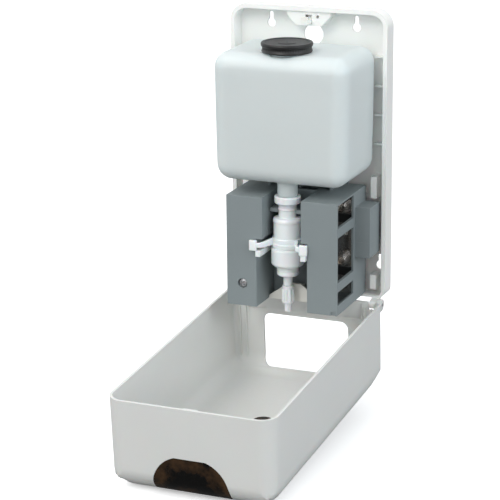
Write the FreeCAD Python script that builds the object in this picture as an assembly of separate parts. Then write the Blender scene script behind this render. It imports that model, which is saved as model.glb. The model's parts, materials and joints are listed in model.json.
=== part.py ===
"""Wall mounted automatic soap dispenser, shown with its front cover swung down.

Millimetres. X is to the right, +Y goes into the wall, +Z is up.
The origin is on the wall, midway across the back plate, at its bottom edge.
The cover is made shut and then turned down about its hinge axis.
"""
import FreeCAD, Part
import math
import os

V = FreeCAD.Vector

# ------------------------------------------------------------ driving sizes
# back plate
PLATE_W = 159.0          # width
PLATE_H = 280.0          # height
RIM_DEPTH = 18.0         # how far the rim stands off the wall
RIM_T = 4.2              # rim thickness
RIM_LOW_T = 2.2          # thinner along the bottom, under the mechanism
FLOOR_T = 2.2            # plate floor thickness
TOP_CORNER_R = 16.0      # upper corners of plate and cover
LOW_CORNER_R = 8.0       # lower corners of plate and cover
KEY_X, KEY_TOP_Z = 43.4, 260.5        # upper keyholes, half spacing and height
KEY_LOW_X, KEY_LOW_Z = 69.2, 28.8     # lower keyholes
KEY_R, KEY_SLOT_R, KEY_RISE = 4.2, 2.1, 9.0
CABLE_HOLE_R, CABLE_HOLE_Z = 9.8, 251.8
BOSS_R = 4.0             # bosses that carry the chassis

# front cover
SHUT_GAP = 0.4           # between cover rim and plate rim when shut
COVER_OVERHANG = 1.5     # cover above the plate's top edge
COVER_UNDERHANG = 2.5    # cover below the plate's bottom edge
COVER_DEPTH = 87.5
COVER_T = 2.5
COVER_EDGE_R = 22.0      # front top and front bottom edges
COVER_SIDE_R = 9.0       # front side edges
COVER_DRAFT = 2.0        # each side draws in this much over the depth
OPEN_ANGLE = 94.0        # swing from shut to fully open
OUTLET_HALF_W = 44.5     # dispensing opening in the cover's underside
OUTLET_NEAR, OUTLET_FAR = 24.0, 80.0  # from the cover's rim
OUTLET_R = 8.0
WINDOW_HALF_W = 36.5     # level window
WINDOW_SHOULDER_Z, WINDOW_TIP_Z, WINDOW_TIP_R = 258.0, 110.0, 7.0
WINDOW_TOP_NEAR = 47.5   # where the window ends on the top wall, from the rim
WINDOW_TOP_HALF_W = 15.0
WINDOW_FLANGE, WINDOW_FLANGE_T = 3.0, 1.2
WINDOW_GAP = 0.1

# cover hinge
HINGE_Y, HINGE_Z = -21.7, -5.3
EAR_R, EAR_T, EAR_X = 5.5, 4.8, 73.6  # cover ears, inner face at EAR_X
LUG_R, LUG_T = 4.4, 6.8
HINGE_SIDE_GAP = 0.4
PIN_R, PIN_FIT = 1.5, 0.05
SWING_GAP = 0.6          # round the lugs in the cover's underside

# latch
LATCH_HALF_W, LATCH_TRAVEL, LATCH_GAP = 5.0, 4.0, 0.3
LATCH_HOUSING_Z0, LATCH_HOUSING_DEPTH = 262.0, 16.0
LATCH_REACH = 28.0       # hook end, from the wall
CATCH_HALF_W, CATCH_T, CATCH_DROP = 7.0, 3.9, 6.5

# grey mechanism
MECH_X0, MECH_X1 = -54.3, 57.5
MECH_Z0, MECH_Z1 = 2.5, 110.6
MECH_FRONT, MECH_BACK = -92.3, -14.0
MECH_T = 2.2
CHASSIS_T = 2.5
CHANNEL_X0, CHANNEL_X1 = -18.0, 21.3      # channel for the pump, upper part
WIDE_X0, WIDE_X1, WIDE_Z = -24.0, 27.5, 70.0   # wider below WIDE_Z
CHANNEL_BACK, CHANNEL_BACK_T = -48.0, 2.0
FIT = 0.2                # chassis between the two blocks
SHELF_Z, SHELF_FRONT, SHELF_HALF_W, SHELF_T = 124.3, -46.0, 40.0, 3.0
SIDE_SCREW_X0, SIDE_SCREW_X1 = -49.0, 51.0
SIDE_SCREW_Z0, SIDE_SCREW_Z1 = 12.0, 100.0
FRONT_SCREW_X, FRONT_SCREW_Z = -38.5, 24.3
SCREW_R, SCREW_HEAD_R, SCREW_HEAD_H, SCREW_FIT = 1.45, 3.0, 2.2, 0.05
FRONT_HEAD_R, FRONT_RECESS_R, FRONT_SCREW_L = 4.2, 4.9, 14.0

# battery bay, four C cells one above another, lying front to back
CELL_X, CELL_PITCH, CELL_Z0 = 43.6, 26.4, 16.4
BAY_X0 = 30.0
BAY_BACK = -35.5
BAY_SIDE_BACK = -47.0    # the open side ends here
BAY_SILL_Z = 12.0
BAR_H, BAR_T = 9.0, 3.0
CONTACT_T, CONTACT_HALF_W = 0.5, 9.0
COIL_R0, COIL_R1, COIL_H, COIL_WIRE_R, COIL_TURNS = 8.0, 4.6, 8.5, 0.6, 4
BUTTON_R, BUTTON_H = 4.5, 1.8

# adapter socket box on the right of the battery box
ADAPTER_W, ADAPTER_DEPTH = 15.0, 29.0
ADAPTER_Z0, ADAPTER_SEAM_Z, ADAPTER_Z1 = 47.0, 62.0, 96.0
ADAPTER_T = 1.8
JACK_R, JACK_BORE_R, JACK_L = 4.0, 2.8, 13.0

# drive train
DRIVE_TRAVEL = 10.0
MODULE = 1.0
RACK_TEETH_L = 32.0
PINION_N, WHEEL_N, MOTOR_N = 12, 36, 12
BACKLASH = 0.35
ADDENDUM, DEDENDUM = 0.8, 1.2         # in modules
WHEEL_X0, WHEEL_X1 = -51.0, -47.0
PINION_X0, PINION_X1 = -33.0, -27.0
DRIVE_Z = 43.0
AXLE_R, AXLE_FIT = 1.5, 0.05
MOTOR_ANGLE = 110.0                   # of the motor, seen from the wheel
MOTOR_R, MOTOR_FLAT, MOTOR_L = 10.0, 7.5, 17.4
MOTOR_SHAFT_R, MOTOR_FIT = 1.0, 0.05
FORK_BACK_GAP = 0.5
FORK_T, FORK_H = 4.5, 6.0
FORK_UNDER_WING = 0.5
GUIDE_W, GUIDE_H, GUIDE_GAP = 2.0, 2.0, 0.3

# bottle
BOTTLE_TOP_W, BOTTLE_LOW_W = 134.0, 131.0
BOTTLE_Z0, BOTTLE_Z1 = 124.6, 246.8
BOTTLE_FRONT, BOTTLE_BACK = -97.5, -6.5
BOTTLE_EDGE_R, BOTTLE_T = 15.0, 1.6
PUMP_Y = -71.5                        # axis of filler neck and pump
FILLER_R, FILLER_T, FILLER_H = 20.5, 2.2, 5.5
CAP_R, CAP_SKIRT_R, CAP_TOP_T = 24.4, 23.7, 3.0
CAP_GAP, SEAL_T = 0.4, 0.5
NECK_R, NECK_BORE_R = 9.6, 7.4

# pump
PUMP_RING_R, PUMP_RING_Z0, PUMP_RING_Z1 = 12.6, 102.7, 109.7
PUMP_THROAT_R, SLEEVE_TOP_Z = 8.7, 88.5
SLEEVE_R, SLEEVE_BORE_R, SLEEVE_Z0 = 13.6, 12.0, 56.0
SLEEVE_FLOOR_Z = 78.0
COLLAR_R, COLLAR_Z0, COLLAR_Z1 = 15.3, 59.6, 69.4
SLIDE_FIT = 0.3
BELL_R, BELL_Z0, BELL_T = 16.0, 40.8, 1.7
STEM_RING_R, STEM_RING_Z0 = 10.6, 31.2
STEM_R, STEM_Z0 = 4.4, 20.9
NOZZLE_R, NOZZLE_Z0 = 6.3, 3.3
TIP_R, TIP_Z0, OUTLET_BORE_R = 3.4, -5.4, 1.4
WING_X0, WING_X1, WING_T = -29.8, 28.5, 3.4
WING_GAP = 0.9                        # wings to the face of the mechanism
WING_ARM_X0, WING_ARM_X1 = 11.0, 16.6
ROD_R, ROD_Z1 = 2.8, 67.6
PUMP_COIL_R, PUMP_COIL_WIRE_R, PUMP_COIL_TURNS = 10.0, 0.6, 8

# saddle that steadies the pump's throat
SADDLE_Z0, SADDLE_T, SADDLE_GAP, SADDLE_REACH = 93.0, 3.5, 0.4, -74.0

# sensor at the foot of the channel
SENSOR_BACK_GAP, SENSOR_FRONT, SENSOR_T = 0.0, -62.0, 2.0
SENSOR_PEAK_Z = 20.0
LENS_R, EYE_R = 3.0, 1.4

# ------------------------------------------------------------ derived places
COVER_RIM_Y = -(RIM_DEPTH + SHUT_GAP)
COVER_FRONT_Y = COVER_RIM_Y - COVER_DEPTH
COVER_Z0, COVER_Z1 = -COVER_UNDERHANG, PLATE_H + COVER_OVERHANG
CHASSIS_BACK = MECH_BACK + CHASSIS_T
CELL_Z = [CELL_Z0 + k * CELL_PITCH for k in range(4)]
CELL_END_FRONT = MECH_FRONT + MECH_T
FORK_FRONT = CHANNEL_BACK - FORK_BACK_GAP - FORK_T
FORK_Z1 = COLLAR_Z0 + 0.4 - FORK_UNDER_WING
WHEEL_Y = FORK_FRONT - MODULE - PINION_N * MODULE / 2
MOTOR_DISTANCE = (WHEEL_N + MOTOR_N) * MODULE / 2
MOTOR_Y = WHEEL_Y + MOTOR_DISTANCE * math.cos(math.radians(MOTOR_ANGLE))
MOTOR_Z = DRIVE_Z + MOTOR_DISTANCE * math.sin(math.radians(MOTOR_ANGLE))
WING_BACK = MECH_FRONT - WING_GAP
LATCH_Z0 = LATCH_HOUSING_Z0 + 1.5
CATCH_FRONT = LATCH_REACH - 2.7 - SHUT_GAP
CAP_Z0 = BOTTLE_Z1 + 0.5
CAP_TOP_Z0 = BOTTLE_Z1 + FILLER_H + SEAL_T + 0.5


# ------------------------------------------------------------ shared shapes
def box(x0, x1, y0, y1, z0, z1):
    """Block between two corners, given in either order."""
    x0, x1 = sorted((x0, x1))
    y0, y1 = sorted((y0, y1))
    z0, z1 = sorted((z0, z1))
    return Part.makeBox(x1 - x0, y1 - y0, z1 - z0, V(x0, y0, z0))


def rod(axis, radius, start, length):
    """Round bar from a start point along X, Y or Z."""
    return Part.makeCylinder(radius, length, V(*start),
                             V(axis == "x", axis == "y", axis == "z"))


def tube(outer, inner, z0, z1, y=PUMP_Y):
    """Upright tube on the pump's axis."""
    return (rod("z", outer, (0, y, z0), z1 - z0)
            .cut(rod("z", inner, (0, y, z0 - 1), z1 - z0 + 2)))


def disc(outer, z0, z1, y=PUMP_Y):
    """Upright solid round on the pump's axis."""
    return rod("z", outer, (0, y, z0), z1 - z0)


def prism(points, along):
    """Flat outline carried along a vector."""
    corners = [V(*p) for p in points]
    return Part.Face(Part.makePolygon(corners + corners[:1])).extrude(V(*along))


def round_edges(shape, axis, radius_at):
    """Round the edges that run along one axis; radius_at gives each radius."""
    direction = V(axis == "x", axis == "y", axis == "z")
    for radius in sorted({radius_at(e.CenterOfMass) for e in shape.Edges}):
        if radius <= 0:
            continue
        picked = [e for e in shape.Edges
                  if len(e.Vertexes) == 2
                  and abs(abs(e.tangentAt(e.FirstParameter).dot(direction)) - 1) < 1e-3
                  and abs(radius_at(e.CenterOfMass) - radius) < 1e-9]
        if picked:
            shape = shape.makeFillet(radius, picked)
    return shape


def fuse(first, *others):
    """Join solids into one and drop seams."""
    return first.multiFuse(list(others)).removeSplitter()


def mirror_x(shape):
    """The same piece on the other side of the object."""
    return shape.mirror(V(0, 0, 0), V(1, 0, 0))


def gear(teeth, x0, x1, y, z, tooth_at):
    """Spur gear along X whose first tooth points at the angle tooth_at."""
    pitch_r = teeth * MODULE / 2
    root, tip = pitch_r - DEDENDUM * MODULE, pitch_r + ADDENDUM * MODULE
    half = (math.pi * MODULE / 2 - BACKLASH) / 2
    lean = math.tan(math.radians(20))
    at_root = (half + DEDENDUM * MODULE * lean) / pitch_r
    at_tip = (half - ADDENDUM * MODULE * lean) / pitch_r
    points = []
    for k in range(teeth):
        middle = math.radians(tooth_at) + 2 * math.pi * k / teeth
        for radius, angle in ((root, -at_root), (tip, -at_tip),
                              (tip, at_tip), (root, at_root)):
            points.append((x0, y + radius * math.cos(middle + angle),
                           z + radius * math.sin(middle + angle)))
    return prism(points, (x1 - x0, 0, 0))


def coil(x, y, z, axis, base_r, top_r, height, wire_r, turns):
    """Wire coil from a base centre along Y, -Y or Z, straight or tapered."""
    steps = 16 * turns
    points = []
    for k in range(steps + 1):
        share, angle = k / steps, 2 * math.pi * k / 16
        r = base_r + (top_r - base_r) * share
        points.append(V(r * math.cos(angle), r * math.sin(angle), height * share))
    curve = Part.BSplineCurve()
    curve.interpolate(points)
    spine = Part.Wire(curve.toShape())
    section = Part.Wire(Part.Edge(Part.Circle(points[0], curve.tangent(0)[0],
                                              wire_r)))
    wire = spine.makePipeShell([section], True, True)
    turn = {"z": (V(1, 0, 0), 0), "+y": (V(1, 0, 0), -90),
            "-y": (V(1, 0, 0), 90)}[axis]
    wire.rotate(V(0, 0, 0), *turn)
    wire.translate(V(x, y, z))
    return wire


# ------------------------------------------------------------ back plate
def corner_radius(inset=0.0):
    """Radii of the four corners seen from the front."""
    return lambda c: (TOP_CORNER_R if c.z > PLATE_H / 2 else LOW_CORNER_R) - inset


def keyhole(x, z):
    """Round entry with a narrower slot above it."""
    entry = rod("y", KEY_R, (x, -FLOOR_T - 1, z), FLOOR_T + 2)
    slot = box(x - KEY_SLOT_R, x + KEY_SLOT_R, -FLOOR_T - 1, 1, z, z + KEY_RISE)
    end = rod("y", KEY_SLOT_R, (x, -FLOOR_T - 1, z + KEY_RISE), FLOOR_T + 2)
    return fuse(entry, slot, end)


def hinge_lug():
    """Lug under the plate's lower edge, right-hand one."""
    x1 = EAR_X - HINGE_SIDE_GAP
    x0 = x1 - LUG_T
    eye = rod("x", LUG_R, (x0, HINGE_Y, HINGE_Z), LUG_T)
    web = prism([(x0, HINGE_Y + 1, HINGE_Z - LUG_R * 0.9),
                 (x0, HINGE_Y + 1, HINGE_Z + LUG_R * 0.9),
                 (x0, -RIM_DEPTH + 0.6, 0.5), (x0, -RIM_DEPTH + 10, 0.5),
                 (x0, -RIM_DEPTH + 10, 0)], (LUG_T, 0, 0))
    web = web.cut(box(x0 - 1, x1 + 1, -RIM_DEPTH, HINGE_Y, 0, 5))
    return fuse(eye, web)


def back_plate():
    """Tray-shaped plate that is screwed to the wall."""
    half = PLATE_W / 2
    tray = round_edges(box(-half, half, -RIM_DEPTH, 0, 0, PLATE_H),
                       "y", corner_radius())
    inside = round_edges(box(-half + RIM_T, half - RIM_T, -RIM_DEPTH - 1,
                             -FLOOR_T, RIM_LOW_T, PLATE_H - RIM_T),
                         "y", corner_radius(RIM_T))
    plate = tray.cut(inside)
    extras = [hinge_lug(), mirror_x(hinge_lug())]
    for x in (SIDE_SCREW_X0, SIDE_SCREW_X1):
        for z in (SIDE_SCREW_Z0, SIDE_SCREW_Z1):
            extras.append(rod("y", BOSS_R, (x, CHASSIS_BACK, z),
                              -FLOOR_T - CHASSIS_BACK + 0.5))
    rib_x0, rib_x1 = half - RIM_T - 11, half - RIM_T + 0.5
    for z in (150.0, 178.0, 206.0, 234.0):
        rib = box(rib_x0, rib_x1, -9, -FLOOR_T + 0.5, z, z + 1.8)
        extras += [rib, mirror_x(rib)]
    for z0, z1 in ((8.0, 22.0), (99.0, 120.0)):
        post = box(MECH_X1 + 6, MECH_X1 + 12, -16, -FLOOR_T + 0.5, z0, z1)
        extras += [post, mirror_x(post)]
    plate = plate.multiFuse(extras)
    holes = [keyhole(x, KEY_TOP_Z) for x in (-KEY_X, KEY_X)]
    holes += [keyhole(x, KEY_LOW_Z) for x in (-KEY_LOW_X, KEY_LOW_X)]
    holes.append(rod("y", CABLE_HOLE_R, (0, -FLOOR_T - 1, CABLE_HOLE_Z),
                     FLOOR_T + 2))
    holes.append(latch_stem(LATCH_GAP))
    for x in (SIDE_SCREW_X0, SIDE_SCREW_X1):
        for z in (SIDE_SCREW_Z0, SIDE_SCREW_Z1):
            holes.append(rod("y", SCREW_R + SCREW_FIT, (x, CHASSIS_BACK - 1, z),
                             9.5))
    holes.append(rod("x", PIN_R, (-EAR_X - 1, HINGE_Y, HINGE_Z), 2 * EAR_X + 2))
    return plate.cut(holes[0].multiFuse(holes[1:])).removeSplitter()


def hinge_pins():
    """Two steel pins pressed into the lugs, one for each cover ear."""
    start = EAR_X - HINGE_SIDE_GAP - LUG_T
    pin = rod("x", PIN_R, (start, HINGE_Y, HINGE_Z),
              LUG_T + HINGE_SIDE_GAP + EAR_T + 0.3)
    return Part.makeCompound([pin, mirror_x(pin)])


# ------------------------------------------------------------ latch
def latch_stem(grow=0.0):
    """Stem that reaches up through the plate's top rim to the key."""
    return box(-2.5 - grow, 2.5 + grow, -11.5 - grow, -8.5 + grow,
               LATCH_Z0 + 5, PLATE_H - 0.5 + (grow > 0) * 3)


def latch_housing():
    """Tapered box under the top rim that guides the latch."""
    top = PLATE_H - RIM_T
    body = prism([(-22, -LATCH_HOUSING_DEPTH, top), (22, -LATCH_HOUSING_DEPTH, top),
                  (22, -LATCH_HOUSING_DEPTH, top - 4),
                  (13, -LATCH_HOUSING_DEPTH, LATCH_HOUSING_Z0),
                  (-13, -LATCH_HOUSING_DEPTH, LATCH_HOUSING_Z0),
                  (-22, -LATCH_HOUSING_DEPTH, top - 4)],
                 (0, LATCH_HOUSING_DEPTH - FLOOR_T, 0))
    side = LATCH_HALF_W + LATCH_GAP
    well = box(-side, side, -13.3, -6.7, LATCH_Z0 - LATCH_GAP, top + 1)
    slot = box(-3 - LATCH_GAP, 3 + LATCH_GAP, -LATCH_HOUSING_DEPTH - 1, -13,
               LATCH_Z0 + 0.5, LATCH_Z0 + 5 + LATCH_TRAVEL)
    eye = rod("y", 1.6, (9, -LATCH_HOUSING_DEPTH - 1, top - 5), 6)
    return body.cut(well.multiFuse([slot, eye])).removeSplitter()


def latch_slider():
    """Slide with a hook that rises behind the cover's catch."""
    z = LATCH_Z0
    body = box(-LATCH_HALF_W, LATCH_HALF_W, -13, -7, z, z + 6)
    arm = box(-3, 3, -LATCH_REACH, -12, z + 0.8, z + 4.4)
    tooth = box(-3, 3, -LATCH_REACH, -LATCH_REACH + 2.7, z + 0.8, z + 8.4)
    return fuse(body, arm, tooth, latch_stem())


# ------------------------------------------------------------ front cover
def cover_form(inset):
    """Solid of the shut cover, inset on all sides but the open one."""
    half = PLATE_W / 2 - inset
    front = COVER_FRONT_Y + inset
    z0, z1 = COVER_Z0 + inset, COVER_Z1 - inset
    rim = COVER_RIM_Y + (1 if inset else 0)
    seen = round_edges(box(-half, half, front, rim, z0, z1), "y",
                       corner_radius(inset))
    side = round_edges(
        box(-half, half, front, rim, z0, z1), "x",
        lambda c: COVER_EDGE_R - inset if c.y < rim - 1 else 0)
    draw = COVER_DRAFT
    plan = round_edges(
        prism([(-half, rim, z0), (half, rim, z0), (half - draw, front, z0),
               (-half + draw, front, z0)], (0, 0, z1 - z0)), "z",
        lambda c: COVER_SIDE_R - inset if c.y < rim - 1 else 0)
    return seen.common(side).common(plan)


def window_form(grow):
    """Drop-shaped outline on the front that runs over the top edge."""
    w, top_w = WINDOW_HALF_W, WINDOW_TOP_HALF_W
    tip = WINDOW_TIP_Z + WINDOW_TIP_R
    y = COVER_FRONT_Y - 5
    mid_x = (w + WINDOW_TIP_R) / 2 + 4
    mid_z = (WINDOW_SHOULDER_Z + tip) / 2

    def arc(a, b, c):
        return Part.Arc(V(*a), V(*b), V(*c)).toShape()

    def line(a, b):
        return Part.makeLine(V(*a), V(*b))

    drop = [arc((-w, y, WINDOW_SHOULDER_Z), (-mid_x, y, mid_z),
                (-WINDOW_TIP_R, y, tip)),
            arc((-WINDOW_TIP_R, y, tip), (0, y, WINDOW_TIP_Z),
                (WINDOW_TIP_R, y, tip)),
            arc((WINDOW_TIP_R, y, tip), (mid_x, y, mid_z),
                (w, y, WINDOW_SHOULDER_Z)),
            line((w, y, WINDOW_SHOULDER_Z), (w, y, COVER_Z1 + 5)),
            line((w, y, COVER_Z1 + 5), (-w, y, COVER_Z1 + 5)),
            line((-w, y, COVER_Z1 + 5), (-w, y, WINDOW_SHOULDER_Z))]
    near = COVER_RIM_Y - WINDOW_TOP_NEAR
    bend = COVER_FRONT_Y + COVER_EDGE_R / 2
    z = WINDOW_TIP_Z - 5
    wide = w + 5
    arch = [line((-wide, y, z), (-wide, bend, z)),
            line((-wide, bend, z), (-w, bend, z)),
            arc((-w, bend, z), (-0.82 * w, (near + bend) / 2 + 4, z),
                (-top_w, near, z)),
            line((-top_w, near, z), (top_w, near, z)),
            arc((top_w, near, z), (0.82 * w, (near + bend) / 2 + 4, z),
                (w, bend, z)),
            line((w, bend, z), (wide, bend, z)),
            line((wide, bend, z), (wide, y, z)),
            line((wide, y, z), (-wide, y, z))]
    solids = []
    for edges, along in ((drop, V(0, COVER_DEPTH, 0)),
                         (arch, V(0, 0, COVER_Z1 - z + 5))):
        face = Part.Face(Part.Wire(edges))
        if grow:
            face = face.makeOffset2D(grow)
        solids.append(face.extrude(along))
    return solids[0].common(solids[1])


def swing_open(shape):
    """Turn a piece of the shut cover down to its open place."""
    shape.rotate(V(0, HINGE_Y, HINGE_Z), V(1, 0, 0), OPEN_ANGLE)
    return shape


def front_cover():
    """Deep one-piece cover with two hinge ears and the latch's catch."""
    shell = cover_form(0).cut(cover_form(COVER_T))
    ear = fuse(rod("x", EAR_R, (EAR_X, HINGE_Y, HINGE_Z), EAR_T),
               box(EAR_X, EAR_X + EAR_T, HINGE_Y - EAR_R, COVER_RIM_Y - 0.2,
                   HINGE_Z, COVER_Z0 + LOW_CORNER_R))
    catch = box(-CATCH_HALF_W, CATCH_HALF_W, -CATCH_FRONT, -CATCH_FRONT + CATCH_T,
                COVER_Z1 - COVER_T - CATCH_DROP, COVER_Z1 - 1)
    floor_z = COVER_Z0 + COVER_T
    frame = fuse(box(41, 60, -37, -35.5, floor_z - 0.5, floor_z + 1.2),
                 box(58.5, 60, -37, -22, floor_z - 0.5, floor_z + 1.2))
    shell = shell.multiFuse([ear, mirror_x(ear), catch, frame, mirror_x(frame)])
    outlet = round_edges(
        box(-OUTLET_HALF_W, OUTLET_HALF_W, COVER_RIM_Y - OUTLET_FAR,
            COVER_RIM_Y - OUTLET_NEAR, COVER_Z0 - 5, COVER_Z0 + 14), "z",
        lambda c: OUTLET_R)
    lug_x1 = EAR_X
    lug_x0 = EAR_X - 2 * HINGE_SIDE_GAP - LUG_T
    reach = LUG_R + SWING_GAP
    notch = box(lug_x0, lug_x1, HINGE_Y - reach, COVER_RIM_Y + 1,
                COVER_Z0 - 1, COVER_Z0 + COVER_T + 3)
    bore = rod("x", PIN_R + PIN_FIT, (-EAR_X - EAR_T - 1, HINGE_Y, HINGE_Z),
               2 * (EAR_X + EAR_T + 1))
    cuts = outlet.multiFuse([notch, mirror_x(notch), bore])
    shell = shell.cut(cuts).cut(window_form(0))
    return swing_open(shell.removeSplitter())


def level_window():
    """Smoked window let into the cover, with a flange behind its edge."""
    pane = cover_form(0).cut(cover_form(COVER_T)).common(window_form(-WINDOW_GAP))
    flange = (cover_form(COVER_T).cut(cover_form(COVER_T + WINDOW_FLANGE_T))
              .common(window_form(WINDOW_FLANGE)))
    return swing_open(fuse(pane, flange))


# ------------------------------------------------------------ chassis and blocks
def chassis():
    """Frame on the back plate that carries both blocks and the bottle shelf."""
    panel = box(MECH_X0, MECH_X1, MECH_BACK, CHASSIS_BACK, MECH_Z0, MECH_Z1)
    back = [box(WIDE_X0 + FIT, WIDE_X1 - FIT, CHANNEL_BACK,
                CHANNEL_BACK + CHANNEL_BACK_T, MECH_Z0, WIDE_Z - FIT),
            box(CHANNEL_X0 + FIT, CHANNEL_X1 - FIT, CHANNEL_BACK,
                CHANNEL_BACK + CHANNEL_BACK_T, WIDE_Z - 1, MECH_Z1)]
    webs = [box(CHANNEL_X0 + FIT, CHANNEL_X0 + FIT + 2, CHANNEL_BACK, MECH_BACK,
                MECH_Z0, MECH_Z1),
            box(CHANNEL_X1 - FIT - 2, CHANNEL_X1 - FIT, CHANNEL_BACK, MECH_BACK,
                MECH_Z0, MECH_Z1)]
    riser = box(-SHELF_HALF_W, SHELF_HALF_W, MECH_BACK, CHASSIS_BACK,
                MECH_Z1 - 1, SHELF_Z)
    shelf = box(-SHELF_HALF_W, SHELF_HALF_W, SHELF_FRONT, CHASSIS_BACK,
                SHELF_Z - SHELF_T, SHELF_Z)
    ribs = [box(x - 1, x + 1, SHELF_FRONT + 2, MECH_BACK, MECH_Z1 + 0.1, SHELF_Z)
            for x in (-30, 1.6, 33)]
    guides = [box(x - GUIDE_W / 2, x + GUIDE_W / 2, CHANNEL_BACK - GUIDE_H,
                  CHANNEL_BACK + 1, MECH_Z0 + 22, WIDE_Z + 8) for x in (-9, 12)]
    post = rod("y", BOSS_R, (FRONT_SCREW_X, MECH_FRONT + 6, FRONT_SCREW_Z),
               MECH_BACK - MECH_FRONT - 6 + 1)
    frame = panel.multiFuse(back + webs + [riser, shelf] + ribs + guides + [post])
    holes = [rod("y", SCREW_R + SCREW_FIT, (x, MECH_BACK - 1, z), CHASSIS_T + 2)
             for x in (SIDE_SCREW_X0, SIDE_SCREW_X1)
             for z in (SIDE_SCREW_Z0, SIDE_SCREW_Z1)]
    holes.append(rod("y", SCREW_R + SCREW_FIT, (FRONT_SCREW_X, MECH_FRONT,
                                                FRONT_SCREW_Z), FRONT_SCREW_L + 4))
    return frame.cut(holes[0].multiFuse(holes[1:])).removeSplitter()


def chassis_screws():
    """Four screws that hold the chassis to the plate's bosses."""
    screws = []
    for x in (SIDE_SCREW_X0, SIDE_SCREW_X1):
        for z in (SIDE_SCREW_Z0, SIDE_SCREW_Z1):
            head = rod("y", SCREW_HEAD_R, (x, MECH_BACK - SCREW_HEAD_H, z),
                       SCREW_HEAD_H)
            shank = rod("y", SCREW_R, (x, MECH_BACK - 0.5, z), 9.5)
            screws.append(fuse(head, shank))
    return Part.makeCompound(screws)


def block_outer(side):
    """Outer solid of one block, wider above than beside the wings."""
    if side == "left":
        return fuse(box(MECH_X0, WIDE_X0, MECH_FRONT, MECH_BACK, MECH_Z0, MECH_Z1),
                    box(MECH_X0, CHANNEL_X0, MECH_FRONT, MECH_BACK, WIDE_Z, MECH_Z1))
    return fuse(box(WIDE_X1, MECH_X1, MECH_FRONT, MECH_BACK, MECH_Z0, MECH_Z1),
                box(CHANNEL_X1, MECH_X1, MECH_FRONT, MECH_BACK, WIDE_Z, MECH_Z1))


def drive_cover():
    """Left block, a shell over the motor and gears that is open behind."""
    t = MECH_T
    inner = fuse(box(MECH_X0 + t, WIDE_X0 - t, MECH_FRONT + t, MECH_BACK + 1,
                     MECH_Z0 + t, MECH_Z1 - t),
                 box(MECH_X0 + t, CHANNEL_X0 - t, MECH_FRONT + t, MECH_BACK + 1,
                     WIDE_Z + t, MECH_Z1 - t))
    shell = block_outer("left").cut(inner)
    seat = rod("y", FRONT_RECESS_R + 1.4, (FRONT_SCREW_X, MECH_FRONT + 0.2,
                                           FRONT_SCREW_Z), 5.8)
    bosses = [rod("x", 3.4, (MECH_X0 + 1, WHEEL_Y, DRIVE_Z), 1.6),
              rod("x", 3.4, (WIDE_X0 - 0.2 - t - 0.4, WHEEL_Y, DRIVE_Z), 1.2)]
    shell = shell.multiFuse([seat] + bosses)
    recess = rod("y", FRONT_RECESS_R, (FRONT_SCREW_X, MECH_FRONT - 1,
                                       FRONT_SCREW_Z), 4.0)
    through = rod("y", SCREW_R + SCREW_FIT, (FRONT_SCREW_X, MECH_FRONT - 1,
                                             FRONT_SCREW_Z), 12)
    slot = box(WIDE_X0 - t - 1, WIDE_X0 + 1, FORK_FRONT - 0.6, CHANNEL_BACK + 0.2,
               FORK_Z1 - FORK_H - 6, FORK_Z1 + DRIVE_TRAVEL + 0.6)
    axle = rod("x", AXLE_R, (MECH_X0 + 0.8, WHEEL_Y, DRIVE_Z),
               WIDE_X0 - 0.6 - MECH_X0 - 0.8)
    return shell.cut(recess.multiFuse([through, slot, axle])).removeSplitter()


def drive_cover_screw():
    """Cross-head screw in the left block's front face."""
    seat_y = MECH_FRONT + 3.0
    head = rod("y", FRONT_HEAD_R, (FRONT_SCREW_X, seat_y - SCREW_HEAD_H,
                                   FRONT_SCREW_Z), SCREW_HEAD_H)
    shank = rod("y", SCREW_R, (FRONT_SCREW_X, seat_y - 0.5, FRONT_SCREW_Z),
                FRONT_SCREW_L)
    cross = fuse(*[box(FRONT_SCREW_X - a, FRONT_SCREW_X + a,
                       seat_y - SCREW_HEAD_H - 1, seat_y - 1.0,
                       FRONT_SCREW_Z - b, FRONT_SCREW_Z + b)
                   for a, b in ((2.2, 0.45), (0.45, 2.2))])
    return fuse(head, shank).cut(cross)


def battery_box():
    """Right block with the battery bay, open on its outer side."""
    t = MECH_T
    bay = box(BAY_X0, MECH_X1 - t, CELL_END_FRONT, BAY_BACK,
              MECH_Z0 + 0.7, MECH_Z1 - 1.5)
    side = box(MECH_X1 - t - 1, MECH_X1 + 1, CELL_END_FRONT, BAY_SIDE_BACK,
               BAY_SILL_Z, MECH_Z1 - 1.5)
    rear = box(BAY_X0, MECH_X1 - t, BAY_BACK + t, MECH_BACK + 1,
               MECH_Z0 + t, MECH_Z1 - t)
    hollow = box(CHANNEL_X1 + t, BAY_X0 - t, MECH_FRONT + t, MECH_BACK + 1,
                 WIDE_Z + t, MECH_Z1 - t)
    shell = block_outer("right").cut(bay.multiFuse([side, rear, hollow]))
    bars = [box(MECH_X1 - BAR_T, MECH_X1, MECH_FRONT + 1, BAY_SIDE_BACK + 1,
                z - BAR_H / 2, z + BAR_H / 2)
            for z in (CELL_Z[0] + CELL_PITCH / 2, CELL_Z[2] + CELL_PITCH / 2)]
    dividers = [box(BAY_X0 - 0.5, BAY_X0 + 3.0, CELL_END_FRONT - 0.5,
                    BAY_BACK + 0.5, z - 2.2, z + 2.2)
                for z in (CELL_Z[k] + CELL_PITCH / 2 for k in range(3))]
    notch = box(MECH_X1 - 6, MECH_X1 - 2, MECH_FRONT - 1, MECH_FRONT + 1,
                MECH_Z0 - 1, MECH_Z0 + 3.5)
    return shell.multiFuse(bars + dividers).cut(notch).removeSplitter()


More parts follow.
